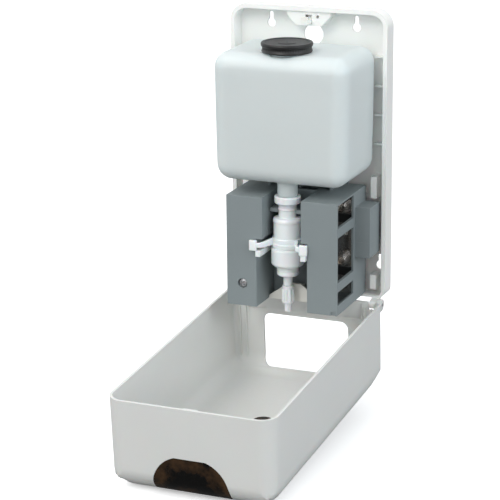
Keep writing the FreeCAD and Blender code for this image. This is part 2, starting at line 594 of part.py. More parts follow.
# ------------------------------------------------------------ battery contacts
def contact(cells, kinds, y, facing):
    """Nickel plate over one or two cell ends, each with a coil or a button."""
    step = CONTACT_T if facing == "-y" else -CONTACT_T
    sign = -1 if facing == "-y" else 1
    z0, z1 = CELL_Z[min(cells)], CELL_Z[max(cells)]
    plate = box(CELL_X - CONTACT_HALF_W, CELL_X + CONTACT_HALF_W, y, y - step,
                z0 - CONTACT_HALF_W, z1 + CONTACT_HALF_W)
    face = y - step
    extras = []
    for cell, kind in zip(cells, kinds):
        z = CELL_Z[cell]
        if kind == "coil":
            extras.append(coil(CELL_X, face + sign * (COIL_WIRE_R - 0.15), z, facing,
                               COIL_R0, COIL_R1, COIL_H, COIL_WIRE_R, COIL_TURNS))
        else:
            start = min(face, face + sign * BUTTON_H)
            extras.append(rod("y", BUTTON_R, (CELL_X, start, z), BUTTON_H))
    return plate.multiFuse(extras)


def front_contact(lower, upper):
    """Contact on the inside of the bay's front wall, joining two cells."""
    return contact((lower, upper), ("coil", "button"), CELL_END_FRONT, "+y")


# ------------------------------------------------------------ adapter socket
def adapter_shell(z0, z1, open_top):
    """One half of the small box for the adapter socket."""
    x1, y0 = MECH_X1 + ADAPTER_W, MECH_BACK - ADAPTER_DEPTH
    t = ADAPTER_T
    outer = box(MECH_X1, x1, y0, MECH_BACK, z0, z1)
    inner = box(MECH_X1 + t, x1 - t, y0 + t, MECH_BACK - t,
                z0 + (t if open_top else -1), z1 + (1 if open_top else -t))
    return outer.cut(inner)


def adapter_axis():
    return MECH_X1 + ADAPTER_W / 2, MECH_BACK - ADAPTER_DEPTH / 2


def adapter_box():
    x, y = adapter_axis()
    return adapter_shell(ADAPTER_Z0, ADAPTER_SEAM_Z, True).cut(
        rod("z", JACK_R, (x, y, ADAPTER_Z0 - 1), ADAPTER_T + 2))


def adapter_lid():
    return adapter_shell(ADAPTER_SEAM_Z, ADAPTER_Z1, False)


def adapter_jack():
    """Round socket that points down through the box's floor."""
    x, y = adapter_axis()
    barrel = rod("z", JACK_R, (x, y, ADAPTER_Z0 - 0.6), JACK_L)
    bore = rod("z", JACK_BORE_R, (x, y, ADAPTER_Z0 - 2), JACK_L - 1)
    pin = rod("z", 0.8, (x, y, ADAPTER_Z0 + 1), JACK_L - 2.2)
    return fuse(barrel.cut(bore), pin)


# ------------------------------------------------------------ drive train
def motor():
    """Small flat-sided motor with its shaft end towards the left wall."""
    x0 = WHEEL_X1 + 3.0
    can = rod("x", MOTOR_R, (x0, MOTOR_Y, MOTOR_Z), MOTOR_L)
    flats = box(x0 - 1, x0 + MOTOR_L + 1, MOTOR_Y - MOTOR_FLAT,
                MOTOR_Y + MOTOR_FLAT, MOTOR_Z - MOTOR_R, MOTOR_Z + MOTOR_R)
    bore = rod("x", MOTOR_SHAFT_R + MOTOR_FIT, (x0 - 1, MOTOR_Y, MOTOR_Z), 9)
    return can.common(flats).cut(bore)


def motor_bracket():
    """Flat bracket that stands on the chassis and carries the motor."""
    x1 = WHEEL_X1 + 3.0
    plate = box(x1 - 1.5, x1, MOTOR_Y - MOTOR_FLAT - 1, MECH_BACK,
                MOTOR_Z - MOTOR_R, MOTOR_Z + MOTOR_R)
    foot = box(x1 - 1.5, x1 + 8, MECH_BACK - 1.5, MECH_BACK,
               MOTOR_Z - MOTOR_R, MOTOR_Z + MOTOR_R)
    hole = rod("x", 3.0, (x1 - 3, MOTOR_Y, MOTOR_Z), 5)
    return fuse(plate, foot).cut(hole)


def motor_pinion():
    """Pinion and shaft of the motor."""
    tooth_at = MOTOR_ANGLE + 180 + 180 / MOTOR_N
    teeth = gear(MOTOR_N, WHEEL_X0 - 0.3, WHEEL_X1 + 0.3, MOTOR_Y, MOTOR_Z, tooth_at)
    shaft = rod("x", MOTOR_SHAFT_R, (WHEEL_X0 + 1, MOTOR_Y, MOTOR_Z),
                WHEEL_X1 - WHEEL_X0 + 9)
    return fuse(teeth, shaft)


def drive_gear():
    """Large wheel and small pinion moulded on one sleeve."""
    wheel = gear(WHEEL_N, WHEEL_X0, WHEEL_X1, WHEEL_Y, DRIVE_Z, MOTOR_ANGLE)
    pinion = gear(PINION_N, PINION_X0, PINION_X1, WHEEL_Y, DRIVE_Z, 0)
    sleeve = rod("x", 3.2, (WHEEL_X0 - 0.5, WHEEL_Y, DRIVE_Z),
                 PINION_X1 - WHEEL_X0 + 0.5)
    bore = rod("x", AXLE_R + AXLE_FIT, (WHEEL_X0 - 2, WHEEL_Y, DRIVE_Z), 30)
    return fuse(wheel, pinion, sleeve).cut(bore)


def gear_axle():
    """Fixed steel axle held in the drive cover's two walls."""
    return rod("x", AXLE_R, (MECH_X0 + 0.8, WHEEL_Y, DRIVE_Z),
               WIDE_X0 - 0.6 - MECH_X0 - 0.8)


def lift_fork():
    """Fork that rises under the pump's wings, with the rack on its left."""
    rack_x1 = PINION_X1
    arm_z0 = FORK_Z1 - FORK_H
    bar = box(WIDE_X0 + 0.5, WIDE_X1 - 0.5, FORK_FRONT, FORK_FRONT + FORK_T,
              arm_z0 - 5, FORK_Z1)
    arms = [box(WIDE_X0 + 0.5, CHANNEL_X0 - 0.8, WING_BACK - WING_T + 0.8,
                FORK_FRONT + 1, arm_z0, FORK_Z1),
            box(CHANNEL_X1 + 0.8, WIDE_X1 - 0.5, WING_BACK - WING_T + 0.8,
                FORK_FRONT + 1, arm_z0, FORK_Z1)]
    link = box(rack_x1 - 1, WIDE_X0 + 1, FORK_FRONT, FORK_FRONT + FORK_T,
               arm_z0 - 5, FORK_Z1)
    rack = box(PINION_X0, rack_x1, FORK_FRONT - 0.2, FORK_FRONT + FORK_T,
               DRIVE_Z - RACK_TEETH_L / 2 - DRIVE_TRAVEL / 2,
               DRIVE_Z + RACK_TEETH_L / 2)
    pitch = math.pi * MODULE
    half = (pitch / 2 - BACKLASH) / 2
    lean = math.tan(math.radians(20))
    pitch_y = FORK_FRONT - MODULE
    root_y, tip_y = FORK_FRONT, pitch_y - ADDENDUM * MODULE
    grow, shrink = (root_y - pitch_y) * lean, (pitch_y - tip_y) * lean
    teeth = []
    for k in range(-6, 4):
        z = DRIVE_Z + (k + 0.5) * pitch
        teeth.append(prism([(PINION_X0, root_y, z - half - grow),
                            (PINION_X0, tip_y, z - half + shrink),
                            (PINION_X0, tip_y, z + half - shrink),
                            (PINION_X0, root_y, z + half + grow)],
                           (rack_x1 - PINION_X0, 0, 0)))
    grooves = [box(x - GUIDE_W / 2 - GUIDE_GAP, x + GUIDE_W / 2 + GUIDE_GAP,
                   CHANNEL_BACK - GUIDE_H - GUIDE_GAP, CHANNEL_BACK + 1,
                   0, MECH_Z1) for x in (-9, 12)]
    body = bar.multiFuse(arms + [link, rack] + teeth)
    return body.cut(grooves[0].fuse(grooves[1])).removeSplitter()


def control_board():
    """Circuit board with a few parts, on the chassis in the left block."""
    board = box(-43, -28, MECH_BACK - 4.6, MECH_BACK - 3.0, 34, 102)
    feet = [box(x - 1.2, x + 1.2, MECH_BACK - 3.5, MECH_BACK, z - 1.2, z + 1.2)
            for x in (-41, -30) for z in (37, 99)]
    parts = [box(-41, -31, MECH_BACK - 7, MECH_BACK - 4.5, 84, 94),
             box(-40, -36, MECH_BACK - 9, MECH_BACK - 4.5, 40, 52)]
    return fuse(board, *(feet + parts))


# ------------------------------------------------------------ sensor
def sensor_housing():
    """White shroud behind the nozzle, with a sloped front panel."""
    x0, x1 = WIDE_X0 + 0.6, WIDE_X1 - 0.6
    t = SENSOR_T
    y0 = SENSOR_FRONT
    panel = prism([(x0, y0, MECH_Z0), (x1, y0, MECH_Z0), (x1, y0, MECH_Z0 + 4),
                   (9, y0, SENSOR_PEAK_Z), (-3, y0, SENSOR_PEAK_Z),
                   (x0, y0, MECH_Z0 + 3)], (0, t, 0))
    floor = box(x0, x1, y0, CHANNEL_BACK, MECH_Z0, MECH_Z0 + t)
    fins = [prism([(x, y0 + 1, MECH_Z0), (x, CHANNEL_BACK, MECH_Z0),
                   (x, CHANNEL_BACK, SENSOR_PEAK_Z - 4), (x, y0 + 1, SENSOR_PEAK_Z - 2)],
                  (t, 0, 0)) for x in (-3, 7)]
    eyes = [rod("z", LENS_R, (x, y0 + 7.5, MECH_Z0 - 1), t + 2) for x in (-12, 17)]
    peep = rod("y", EYE_R, (-1, y0 - 1, MECH_Z0 + 5), t + 2)
    return (fuse(panel, floor, *fins)
            .cut(eyes[0].multiFuse([eyes[1], peep])).removeSplitter())


def sensor_lenses():
    """Two dark lenses that look down past the nozzle."""
    lenses = [rod("z", LENS_R, (x, SENSOR_FRONT + 7.5, MECH_Z0 - 0.6), SENSOR_T + 0.6)
              for x in (-12, 17)]
    return Part.makeCompound(lenses)


def sensor_board():
    """Small board on top of the sensor lenses."""
    z = MECH_Z0 + SENSOR_T
    left = box(WIDE_X0 + 1.5, -4, SENSOR_FRONT + 3, CHANNEL_BACK - 0.5, z, z + 1.6)
    right = box(10, WIDE_X1 - 1.5, SENSOR_FRONT + 3, CHANNEL_BACK - 0.5, z, z + 1.6)
    return Part.makeCompound([left, right])


# ------------------------------------------------------------ bottle and cap
def bottle_form(inset):
    """Rounded block of the bottle, a little narrower below."""
    top, low = BOTTLE_TOP_W / 2 - inset, BOTTLE_LOW_W / 2 - inset
    y0, y1 = BOTTLE_FRONT + inset, BOTTLE_BACK - inset
    z0, z1 = BOTTLE_Z0 + inset, BOTTLE_Z1 - inset
    block = prism([(-low, y0, z0), (low, y0, z0), (top, y0, z1), (-top, y0, z1)],
                  (0, y1 - y0, 0))
    return block.makeFillet(BOTTLE_EDGE_R - inset, block.Edges)


def bottle():
    """Blown bottle with a filler neck on top and the pump's neck below."""
    body = bottle_form(0)
    body = body.multiFuse([disc(FILLER_R, BOTTLE_Z1 - 3, BOTTLE_Z1 + FILLER_H),
                           disc(NECK_R, PUMP_RING_Z0 + 2.3, BOTTLE_Z0 + 2)])
    hollow = bottle_form(BOTTLE_T).multiFuse(
        [disc(FILLER_R - FILLER_T, BOTTLE_Z1 - 6, BOTTLE_Z1 + FILLER_H + 1),
         disc(NECK_BORE_R, PUMP_RING_Z0, BOTTLE_Z0 + 6)])
    return body.cut(hollow)


def refill_cap():
    """Ribbed cap over the filler neck."""
    lid = disc(CAP_R, CAP_TOP_Z0, CAP_TOP_Z0 + CAP_TOP_T)
    skirt = tube(CAP_SKIRT_R, FILLER_R + CAP_GAP, CAP_Z0, CAP_TOP_Z0 + 0.5)
    bead = tube(CAP_SKIRT_R + 0.5, FILLER_R + CAP_GAP, CAP_Z0, CAP_Z0 + 1.6)
    dish = disc(CAP_R - 4, CAP_TOP_Z0 + CAP_TOP_T - 0.6, CAP_TOP_Z0 + CAP_TOP_T + 1)
    return fuse(lid, skirt, bead).cut(dish)


def cap_seal():
    """Flat rubber ring under the cap."""
    return tube(FILLER_R, FILLER_R - FILLER_T - 1, CAP_TOP_Z0 - SEAL_T, CAP_TOP_Z0)


# ------------------------------------------------------------ pump
def pump_body():
    """Ring that screws to the bottle's neck, throat and sliding sleeve."""
    ring = disc(PUMP_RING_R, PUMP_RING_Z0, PUMP_RING_Z1)
    throat = disc(PUMP_THROAT_R, SLEEVE_TOP_Z - 1, PUMP_RING_Z0 + 1)
    sleeve = disc(SLEEVE_R, SLEEVE_Z0, SLEEVE_TOP_Z)
    body = fuse(ring, throat, sleeve)
    bores = [disc(NECK_R, PUMP_RING_Z0 + 1.8, PUMP_RING_Z1 + 1),
             disc(NECK_BORE_R - 1, SLEEVE_FLOOR_Z + 3, PUMP_RING_Z1),
             disc(SLEEVE_BORE_R, SLEEVE_Z0 - 1, SLEEVE_FLOOR_Z)]
    return body.cut(bores[0].multiFuse(bores[1:]))


def neck_gasket():
    """Ring squeezed between the bottle's neck and the pump."""
    return tube(NECK_R - 0.3, NECK_BORE_R - 0.6, PUMP_RING_Z0 + 1.8, PUMP_RING_Z0 + 2.3)


def pump_collar():
    """Collar round the sleeve with the two wings that the fork lifts."""
    ring = disc(COLLAR_R, COLLAR_Z0, COLLAR_Z1)
    z0, z1 = COLLAR_Z0 + 0.4, COLLAR_Z1
    pieces = []
    for x_tip, side in ((WING_X0, -1), (WING_X1, 1)):
        pieces.append(box(x_tip, side * WING_ARM_X0, WING_BACK - WING_T,
                          WING_BACK, z0, z1))
        pieces.append(box(side * WING_ARM_X0, side * WING_ARM_X1,
                          WING_BACK - 1, PUMP_Y - 4, z0 + 1, z1 - 1))
    bore = disc(SLEEVE_R + SLIDE_FIT, COLLAR_Z0 - 1, COLLAR_Z1 + 1)
    return fuse(ring, *pieces).cut(bore)


def pump_bell():
    """Cup under the collar that houses the spring."""
    cup = disc(BELL_R, BELL_Z0, COLLAR_Z0)
    edge = [e for e in cup.Edges if abs(e.CenterOfMass.z - BELL_Z0) < 1e-6]
    cup = cup.makeFillet(2.0, edge)
    bore = disc(SLEEVE_R + SLIDE_FIT, BELL_Z0 + BELL_T + 0.6, COLLAR_Z0 + 1)
    return cup.cut(bore).cut(disc(ROD_R, BELL_Z0 - 1, BELL_Z0 + 4))


def piston_rod():
    """Hollow rod that carries the soap through the bell."""
    rod_solid = disc(ROD_R, BELL_Z0, ROD_Z1)
    return rod_solid.cut(disc(OUTLET_BORE_R, BELL_Z0 - 1, ROD_Z1 + 1))


def pump_stem():
    """Ring and stem under the bell."""
    ring = disc(STEM_RING_R, STEM_RING_Z0, BELL_Z0)
    edges = [e for e in ring.Edges if abs(e.CenterOfMass.z - STEM_RING_Z0) < 1e-6]
    ring = ring.makeFillet(1.5, edges)
    return fuse(ring, disc(STEM_R, STEM_Z0, STEM_RING_Z0 + 1)).cut(
        disc(OUTLET_BORE_R, STEM_Z0 - 1, BELL_Z0 + 1))


def nozzle():
    """Outlet nozzle with a narrow tip."""
    return fuse(disc(NOZZLE_R, NOZZLE_Z0, STEM_Z0), disc(TIP_R, TIP_Z0, NOZZLE_Z0 + 1)
                ).cut(disc(OUTLET_BORE_R, TIP_Z0 - 1, STEM_Z0 + 1))


def pump_spring():
    """Coil that pushes the bell down again."""
    z0 = BELL_Z0 + BELL_T + 0.6 + PUMP_COIL_WIRE_R + 0.2
    z1 = SLEEVE_FLOOR_Z - PUMP_COIL_WIRE_R - 0.2
    return coil(0, PUMP_Y, z0, "z", PUMP_COIL_R, PUMP_COIL_R, z1 - z0,
                PUMP_COIL_WIRE_R, PUMP_COIL_TURNS)


def pump_saddle():
    """Open-fronted plate that steadies the pump's throat."""
    x0, x1 = CHANNEL_X0 + FIT + 0.8, CHANNEL_X1 - FIT - 0.8
    plate = box(x0, x1, SADDLE_REACH, CHANNEL_BACK, SADDLE_Z0, SADDLE_Z0 + SADDLE_T)
    grip = PUMP_THROAT_R + SADDLE_GAP
    gap = fuse(disc(grip, SADDLE_Z0 - 1, SADDLE_Z0 + SADDLE_T + 1),
               box(-grip, grip, SADDLE_REACH - 1, PUMP_Y, SADDLE_Z0 - 1,
                   SADDLE_Z0 + SADDLE_T + 1))
    return plate.cut(gap)


# ------------------------------------------------------------ all the pieces
PIECES = {
    "back_plate": back_plate,
    "hinge_pins": hinge_pins,
    "latch_housing": latch_housing,
    "latch_slider": latch_slider,
    "front_cover": front_cover,
    "level_window": level_window,
    "chassis": chassis,
    "chassis_screws": chassis_screws,
    "drive_cover": drive_cover,
    "drive_cover_screw": drive_cover_screw,
    "battery_box": battery_box,
    "rear_top_contact": lambda: contact((3,), ("coil",), BAY_BACK, "-y"),
    "rear_middle_contact": lambda: contact((1, 2), ("coil", "button"),
                                           BAY_BACK, "-y"),
    "rear_bottom_contact": lambda: contact((0,), ("button",), BAY_BACK, "-y"),
    "front_top_contact": lambda: front_contact(2, 3),
    "front_bottom_contact": lambda: front_contact(0, 1),
    "adapter_box": adapter_box,
    "adapter_lid": adapter_lid,
    "adapter_jack": adapter_jack,
    "motor": motor,
    "motor_bracket": motor_bracket,
    "motor_pinion": motor_pinion,
    "drive_gear": drive_gear,
    "gear_axle": gear_axle,
    "lift_fork": lift_fork,
    "control_board": control_board,
    "sensor_housing": sensor_housing,
    "sensor_lenses": sensor_lenses,
    "sensor_board": sensor_board,
    "bottle": bottle,
    "refill_cap": refill_cap,
    "cap_seal": cap_seal,
    "pump_body": pump_body,
    "neck_gasket": neck_gasket,
    "pump_collar": pump_collar,
    "pump_bell": pump_bell,
    "piston_rod": piston_rod,
    "pump_stem": pump_stem,
    "nozzle": nozzle,
    "pump_spring": pump_spring,
    "pump_saddle": pump_saddle,
}

os.makedirs("parts", exist_ok=True)
for name, make in PIECES.items():
    make().exportStep(f"parts/{name}.step")
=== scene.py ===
"""Wall mounted soap dispenser with its cover swung down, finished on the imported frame.

Metres, in the frame of the model: X to the right, +Y into the wall, +Z up.
"""
import bpy
import bmesh
import json
import math
import numpy as np
from mathutils import Matrix, Vector


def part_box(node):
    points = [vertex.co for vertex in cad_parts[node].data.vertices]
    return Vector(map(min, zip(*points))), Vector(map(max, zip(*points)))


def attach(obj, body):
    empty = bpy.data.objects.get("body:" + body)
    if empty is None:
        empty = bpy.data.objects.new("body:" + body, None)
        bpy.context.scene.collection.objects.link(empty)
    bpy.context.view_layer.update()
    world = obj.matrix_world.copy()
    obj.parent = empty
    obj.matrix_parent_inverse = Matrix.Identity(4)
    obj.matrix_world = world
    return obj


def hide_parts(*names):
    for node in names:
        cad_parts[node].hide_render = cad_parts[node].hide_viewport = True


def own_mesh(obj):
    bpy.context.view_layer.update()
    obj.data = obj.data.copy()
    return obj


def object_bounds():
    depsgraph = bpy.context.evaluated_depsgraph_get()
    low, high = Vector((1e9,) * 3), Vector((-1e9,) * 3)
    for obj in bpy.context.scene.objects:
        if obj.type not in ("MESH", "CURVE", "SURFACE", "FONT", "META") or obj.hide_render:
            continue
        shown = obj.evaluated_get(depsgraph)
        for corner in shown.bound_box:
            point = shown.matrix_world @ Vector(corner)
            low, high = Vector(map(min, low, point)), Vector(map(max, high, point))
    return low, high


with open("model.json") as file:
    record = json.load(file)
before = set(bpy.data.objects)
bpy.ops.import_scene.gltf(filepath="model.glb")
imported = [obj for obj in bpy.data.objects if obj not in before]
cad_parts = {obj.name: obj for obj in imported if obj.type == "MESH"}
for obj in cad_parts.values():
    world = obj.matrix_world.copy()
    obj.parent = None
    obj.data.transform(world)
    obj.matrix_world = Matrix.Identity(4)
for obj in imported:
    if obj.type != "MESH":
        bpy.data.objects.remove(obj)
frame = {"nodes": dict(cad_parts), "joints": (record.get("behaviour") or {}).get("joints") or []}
nodes = frame["nodes"]
cad_box = [list(corner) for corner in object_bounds()]


# ---------------------------------------------------------------- camera
# A long lens a little above the dispenser and to its right, so that the
# plate, the mechanism and the inside of the lowered cover all show.
yaw, pitch = math.radians(22.64), math.radians(16.57)
towards = Vector((math.sin(yaw) * math.cos(pitch), -math.cos(yaw) * math.cos(pitch),
                  math.sin(pitch)))
stand = Vector((-0.0376, -0.0600, 0.0449)) + 1.8497 * towards
aim = Vector((-0.0434, -0.0613, 0.0484))
lens = bpy.data.cameras.new("camera")
lens.lens, lens.sensor_width, lens.clip_end = 137.8, 36.0, 50.0
camera = bpy.data.objects.new("camera", lens)
bpy.context.scene.collection.objects.link(camera)
turn = (aim - stand).to_track_quat("-Z", "Y").to_matrix() @ Matrix.Rotation(-0.010, 3, "Z")
camera.matrix_world = Matrix.Translation(stand) @ turn.to_4x4()
bpy.context.scene.camera = camera


# ---------------------------------------------------------------- studio
# White surroundings, one broad lamp above on the left, a weaker one in front
# and a strip behind on the right that draws the glossy edges.
scene = bpy.context.scene
scene.view_settings.view_transform = "Standard"
world = bpy.data.worlds.new("studio")
scene.world = world
world.use_nodes = True
sky = world.node_tree
sky.nodes["Background"].inputs["Strength"].default_value = 1.12
ramp = sky.nodes.new("ShaderNodeValToRGB")
ramp.color_ramp.elements[0].position, ramp.color_ramp.elements[0].color = 0.1, (0.96, 0.98, 1.0, 1)
ramp.color_ramp.elements[1].position = 0.9
ramp.color_ramp.elements[1].color = (0.50, 0.515, 0.53, 1)
height = sky.nodes.new("ShaderNodeSeparateXYZ")
sky.links.new(sky.nodes.new("ShaderNodeTexCoord").outputs["Generated"], height.inputs[0])
sky.links.new(height.outputs["Z"], ramp.inputs["Fac"])
sky.links.new(ramp.outputs["Color"], sky.nodes["Background"].inputs["Color"])


def softbox(name, place, size, power, colour):
    """Square lamp that faces the middle of the dispenser."""
    lamp = bpy.data.lights.new(name, "AREA")
    lamp.size, lamp.energy, lamp.color = size, power, colour
    holder = bpy.data.objects.new(name, lamp)
    holder.matrix_world = (Matrix.Translation(place) @ (Vector((0, -0.08, 0.08)) - Vector(place))
                           .to_track_quat("-Z", "Y").to_matrix().to_4x4())
    scene.collection.objects.link(holder)


softbox("key_lamp", (-1.5, -0.9, 2.7), 1.5, 20, (1.0, 0.985, 0.95))
softbox("front_lamp", (-0.5, -2.3, 2.0), 1.2, 27, (1.0, 0.99, 0.97))
softbox("rim_lamp", (1.9, -0.6, 0.9), 1.0, 12, (0.88, 0.95, 1.0))


def surface(name, points, closed_u=True, closed_v=False, cap_start=False, cap_end=False):
    """Mesh of a grid of points, rows by columns by xyz.

    Each cell joins row i, i+1 with column j, j+1. The columns run round
    when closed_u and the rows when closed_v, and an end row may be closed
    with a fan to its middle.
    """
    rows, cols = points.shape[:2]
    grid = np.arange(rows * cols).reshape(rows, cols)
    if closed_v:
        grid = np.vstack([grid, grid[:1]])
    nxt = np.roll(grid, -1, axis=1) if closed_u else grid[:, 1:]
    now = grid if closed_u else grid[:, :-1]
    quads = np.stack([now[:-1], nxt[:-1], nxt[1:], now[1:]], -1).reshape(-1, 4)
    coords, faces = points.reshape(-1, 3), quads.tolist()
    for wanted, row, flip in ((cap_start, 0, True), (cap_end, rows - 1, False)):
        if wanted:
            middle = len(coords)
            coords = np.vstack([coords, points[row].mean(0)])
            ring, after = grid[row], np.roll(grid[row], -1)
            a, b = (after, ring) if flip else (ring, after)
            faces += np.stack([a, b, np.full(cols, middle)], -1).tolist()
    mesh = bpy.data.meshes.new(name)
    mesh.from_pydata(coords.tolist(), [], faces)
    mesh.polygons.foreach_set("use_smooth", np.ones(len(mesh.polygons), bool))
    mesh.update()
    piece = bpy.data.objects.new(name, mesh)
    scene.collection.objects.link(piece)
    return piece


# floor: a plain pale sweep below the lowest point of the cover
side = np.linspace(-7.0, 7.0, 3)
flat_x, flat_y = np.meshgrid(side, side)
flat_z = np.full_like(flat_x, cad_box[0][2] - 0.001)
floor = surface("floor", np.stack([flat_x, flat_y, flat_z], -1),
                closed_u=False)
paint = bpy.data.materials.new("pale_floor")
paint.use_nodes = True
sweep = paint.node_tree
coat = sweep.nodes["Principled BSDF"]
coat.inputs["Roughness"].default_value = 0.9
coat.inputs["Emission Color"].default_value = (1, 1, 1, 1)
seen = sweep.nodes.new("ShaderNodeLightPath").outputs["Is Camera Ray"]
glow = sweep.nodes.new("ShaderNodeMath")
glow.operation = "MULTIPLY"
glow.inputs[1].default_value = 0.40
sweep.links.new(seen, glow.inputs[0])
sweep.links.new(glow.outputs[0], coat.inputs["Emission Strength"])
tone = sweep.nodes.new("ShaderNodeMapRange")
tone.inputs["To Min"].default_value = 0.22
tone.inputs["To Max"].default_value = 0.93
sweep.links.new(seen, tone.inputs["Value"])
sweep.links.new(tone.outputs[0], coat.inputs["Base Color"])
floor.data.materials.append(paint)


# ---------------------------------------------------------------- back plate
# Tray of white ABS, injection moulded in one piece with its rim, ribs, posts
# and keyholes. Screws through the keyholes hold it to the wall.
def node_in(tree, kind, **settings):
    """One shader node; settings whose names are sockets fill those sockets."""
    made = tree.nodes.new(kind)
    for key, value in settings.items():
        name = key.replace("_", " ")
        if hasattr(made, key):
            setattr(made, key, value)
        elif isinstance(value, bpy.types.NodeSocket):
            tree.links.new(value, made.inputs[name])
        else:
            made.inputs[name].default_value = value
    return made


def maths(tree, operation, first, second=0.0, clamp=False):
    """Result of one sum on two values or sockets."""
    made = tree.nodes.new("ShaderNodeMath")
    made.operation, made.use_clamp = operation, clamp
    for slot, value in zip(made.inputs, (first, second)):
        if isinstance(value, bpy.types.NodeSocket):
            tree.links.new(value, slot)
        else:
            slot.default_value = value
    return made.outputs[0]


def blended(tree, share, first, second, mode="MIX"):
    """Colour that goes from the first to the second as share rises."""
    made = tree.nodes.new("ShaderNodeMix")
    made.data_type, made.blend_type = "RGBA", mode
    for slot, value in zip((made.inputs[0], made.inputs[6], made.inputs[7]),
                           (share, first, second)):
        if isinstance(value, bpy.types.NodeSocket):
            tree.links.new(value, slot)
        else:
            slot.default_value = value
    return made.outputs[2]


def new_group(name, values, outs):
    """Empty node group with named inputs and outputs."""
    group = bpy.data.node_groups.new(name, "ShaderNodeTree")
    for label, value in values:
        kind = "NodeSocketColor" if isinstance(value, tuple) else "NodeSocketFloat"
        socket = group.interface.new_socket(label, in_out="INPUT", socket_type=kind)
        socket.default_value = value
    for label, kind in outs:
        group.interface.new_socket(label, in_out="OUTPUT", socket_type=kind)
    return group, group.nodes.new("NodeGroupInput"), group.nodes.new("NodeGroupOutput")


# moulded skin: slow clouds in the colour, fine spark-eroded grain, faint
# drawn-out scuffs, softened and lightly rubbed edges, dust on upward faces
moulded_skin, given, out = new_group("moulded_skin", [
    ("Colour", (0.9, 0.9, 0.9, 1)), ("Deep colour", (0.8, 0.8, 0.8, 1)),
    ("Edge colour", (1, 1, 1, 1)), ("Dust colour", (0.6, 0.57, 0.52, 1)),
    ("Roughness", 0.4), ("Cloud size", 14.0), ("Cloud contrast", 1.0), ("Grain size", 2200.0),
    ("Grain height", 0.00003), ("Scuffs", 0.1), ("Edge wear", 0.4), ("Dust", 0.08),
    ("Edge radius", 0.0005)],
    [("Colour", "NodeSocketColor"), ("Roughness", "NodeSocketFloat"),
     ("Normal", "NodeSocketVector")])
tree = moulded_skin
where = tree.nodes.new("ShaderNodeTexCoord").outputs["Object"]
clouds = node_in(tree, "ShaderNodeTexNoise", Vector=where, Scale=given.outputs["Cloud size"],
                 Detail=4.0, Roughness=0.6)
grain = node_in(tree, "ShaderNodeTexNoise", Vector=where, Scale=given.outputs["Grain size"],
                Detail=2.0, Roughness=0.5)
drawn = node_in(tree, "ShaderNodeMapping", Vector=where, Scale=(60.0, 420.0, 36.0),
                Rotation=(0.5, 0.3, 0.7))
scuffs = node_in(tree, "ShaderNodeTexNoise", Vector=drawn.outputs[0], Scale=1.0, Detail=6.0,
                 Roughness=0.7)
scuff = maths(tree, "MULTIPLY",
              maths(tree, "SUBTRACT", scuffs.outputs["Fac"], 0.60, True), 5.0, True)
scuff = maths(tree, "MULTIPLY", scuff, given.outputs["Scuffs"])
rounded = node_in(tree, "ShaderNodeBevel", samples=4, Radius=given.outputs["Edge radius"])
plain = tree.nodes.new("ShaderNodeNewGeometry").outputs["Normal"]
against = tree.nodes.new("ShaderNodeVectorMath")
against.operation = "DOT_PRODUCT"
tree.links.new(rounded.outputs[0], against.inputs[0])
tree.links.new(plain, against.inputs[1])
edge = maths(tree, "MULTIPLY",
             maths(tree, "SUBTRACT", 1.0, against.outputs["Value"], True), 6.0, True)
edge = maths(tree, "MULTIPLY", maths(tree, "MULTIPLY", edge, clouds.outputs["Fac"]),
             given.outputs["Edge wear"])
upward = node_in(tree, "ShaderNodeSeparateXYZ", Vector=plain)
motes = node_in(tree, "ShaderNodeTexNoise", Vector=where, Scale=260.0, Detail=5.0, Roughness=0.75)
dust = maths(tree, "MULTIPLY", maths(tree, "MAXIMUM", upward.outputs["Z"], 0.0),
             maths(tree, "MULTIPLY", maths(tree, "SUBTRACT", motes.outputs["Fac"], 0.42, True), 3.0, True))
dust = maths(tree, "MULTIPLY", dust, given.outputs["Dust"])
patch = maths(tree, "MULTIPLY", maths(tree, "SUBTRACT", clouds.outputs["Fac"], 0.5),
              given.outputs["Cloud contrast"])
patch = maths(tree, "ADD", patch, 0.5, True)
colour = blended(tree, patch, given.outputs["Colour"], given.outputs["Deep colour"])
colour = blended(tree, dust, colour, given.outputs["Dust colour"])
colour = blended(tree, edge, colour, given.outputs["Edge colour"])
tree.links.new(colour, out.inputs["Colour"])
rough = maths(tree, "ADD", given.outputs["Roughness"],
              maths(tree, "MULTIPLY", maths(tree, "SUBTRACT", grain.outputs["Fac"], 0.5), 0.12))
rough = maths(tree, "ADD", maths(tree, "ADD", rough, scuff),
              maths(tree, "MULTIPLY", dust, 0.5), True)
tree.links.new(rough, out.inputs["Roughness"])
height = maths(tree, "MULTIPLY", maths(tree, "SUBTRACT", grain.outputs["Fac"], scuff),
               given.outputs["Grain height"])
raised = node_in(tree, "ShaderNodeBump", Strength=1.0, Distance=1.0, Height=height,
                 Normal=rounded.outputs[0])
tree.links.new(raised.outputs[0], out.inputs["Normal"])


def moulded(name, colour, deep, roughness, constants=(), **values):
    """Plastic with the moulded skin; constants are set on the shader itself."""
    material = bpy.data.materials.new(name)
    material.use_nodes = True
    tree = material.node_tree
    shader = tree.nodes["Principled BSDF"]
    skin = tree.nodes.new("ShaderNodeGroup")
    skin.node_tree = moulded_skin
    skin.inputs["Colour"].default_value = (*colour, 1)
    skin.inputs["Deep colour"].default_value = (*deep, 1)
    skin.inputs["Roughness"].default_value = roughness
    for key, value in values.items():
        skin.inputs[key.replace("_", " ")].default_value = value
    for label, value in constants:
        shader.inputs[label].default_value = value
    tree.links.new(skin.outputs["Colour"], shader.inputs["Base Color"])
    tree.links.new(skin.outputs["Roughness"], shader.inputs["Roughness"])
    tree.links.new(skin.outputs["Normal"], shader.inputs["Normal"])
    return material


def finish_node(name, material):
    """Gives a part of the frame its finish."""
    mesh = nodes[name].data
    mesh.materials.clear()
    mesh.materials.append(material)


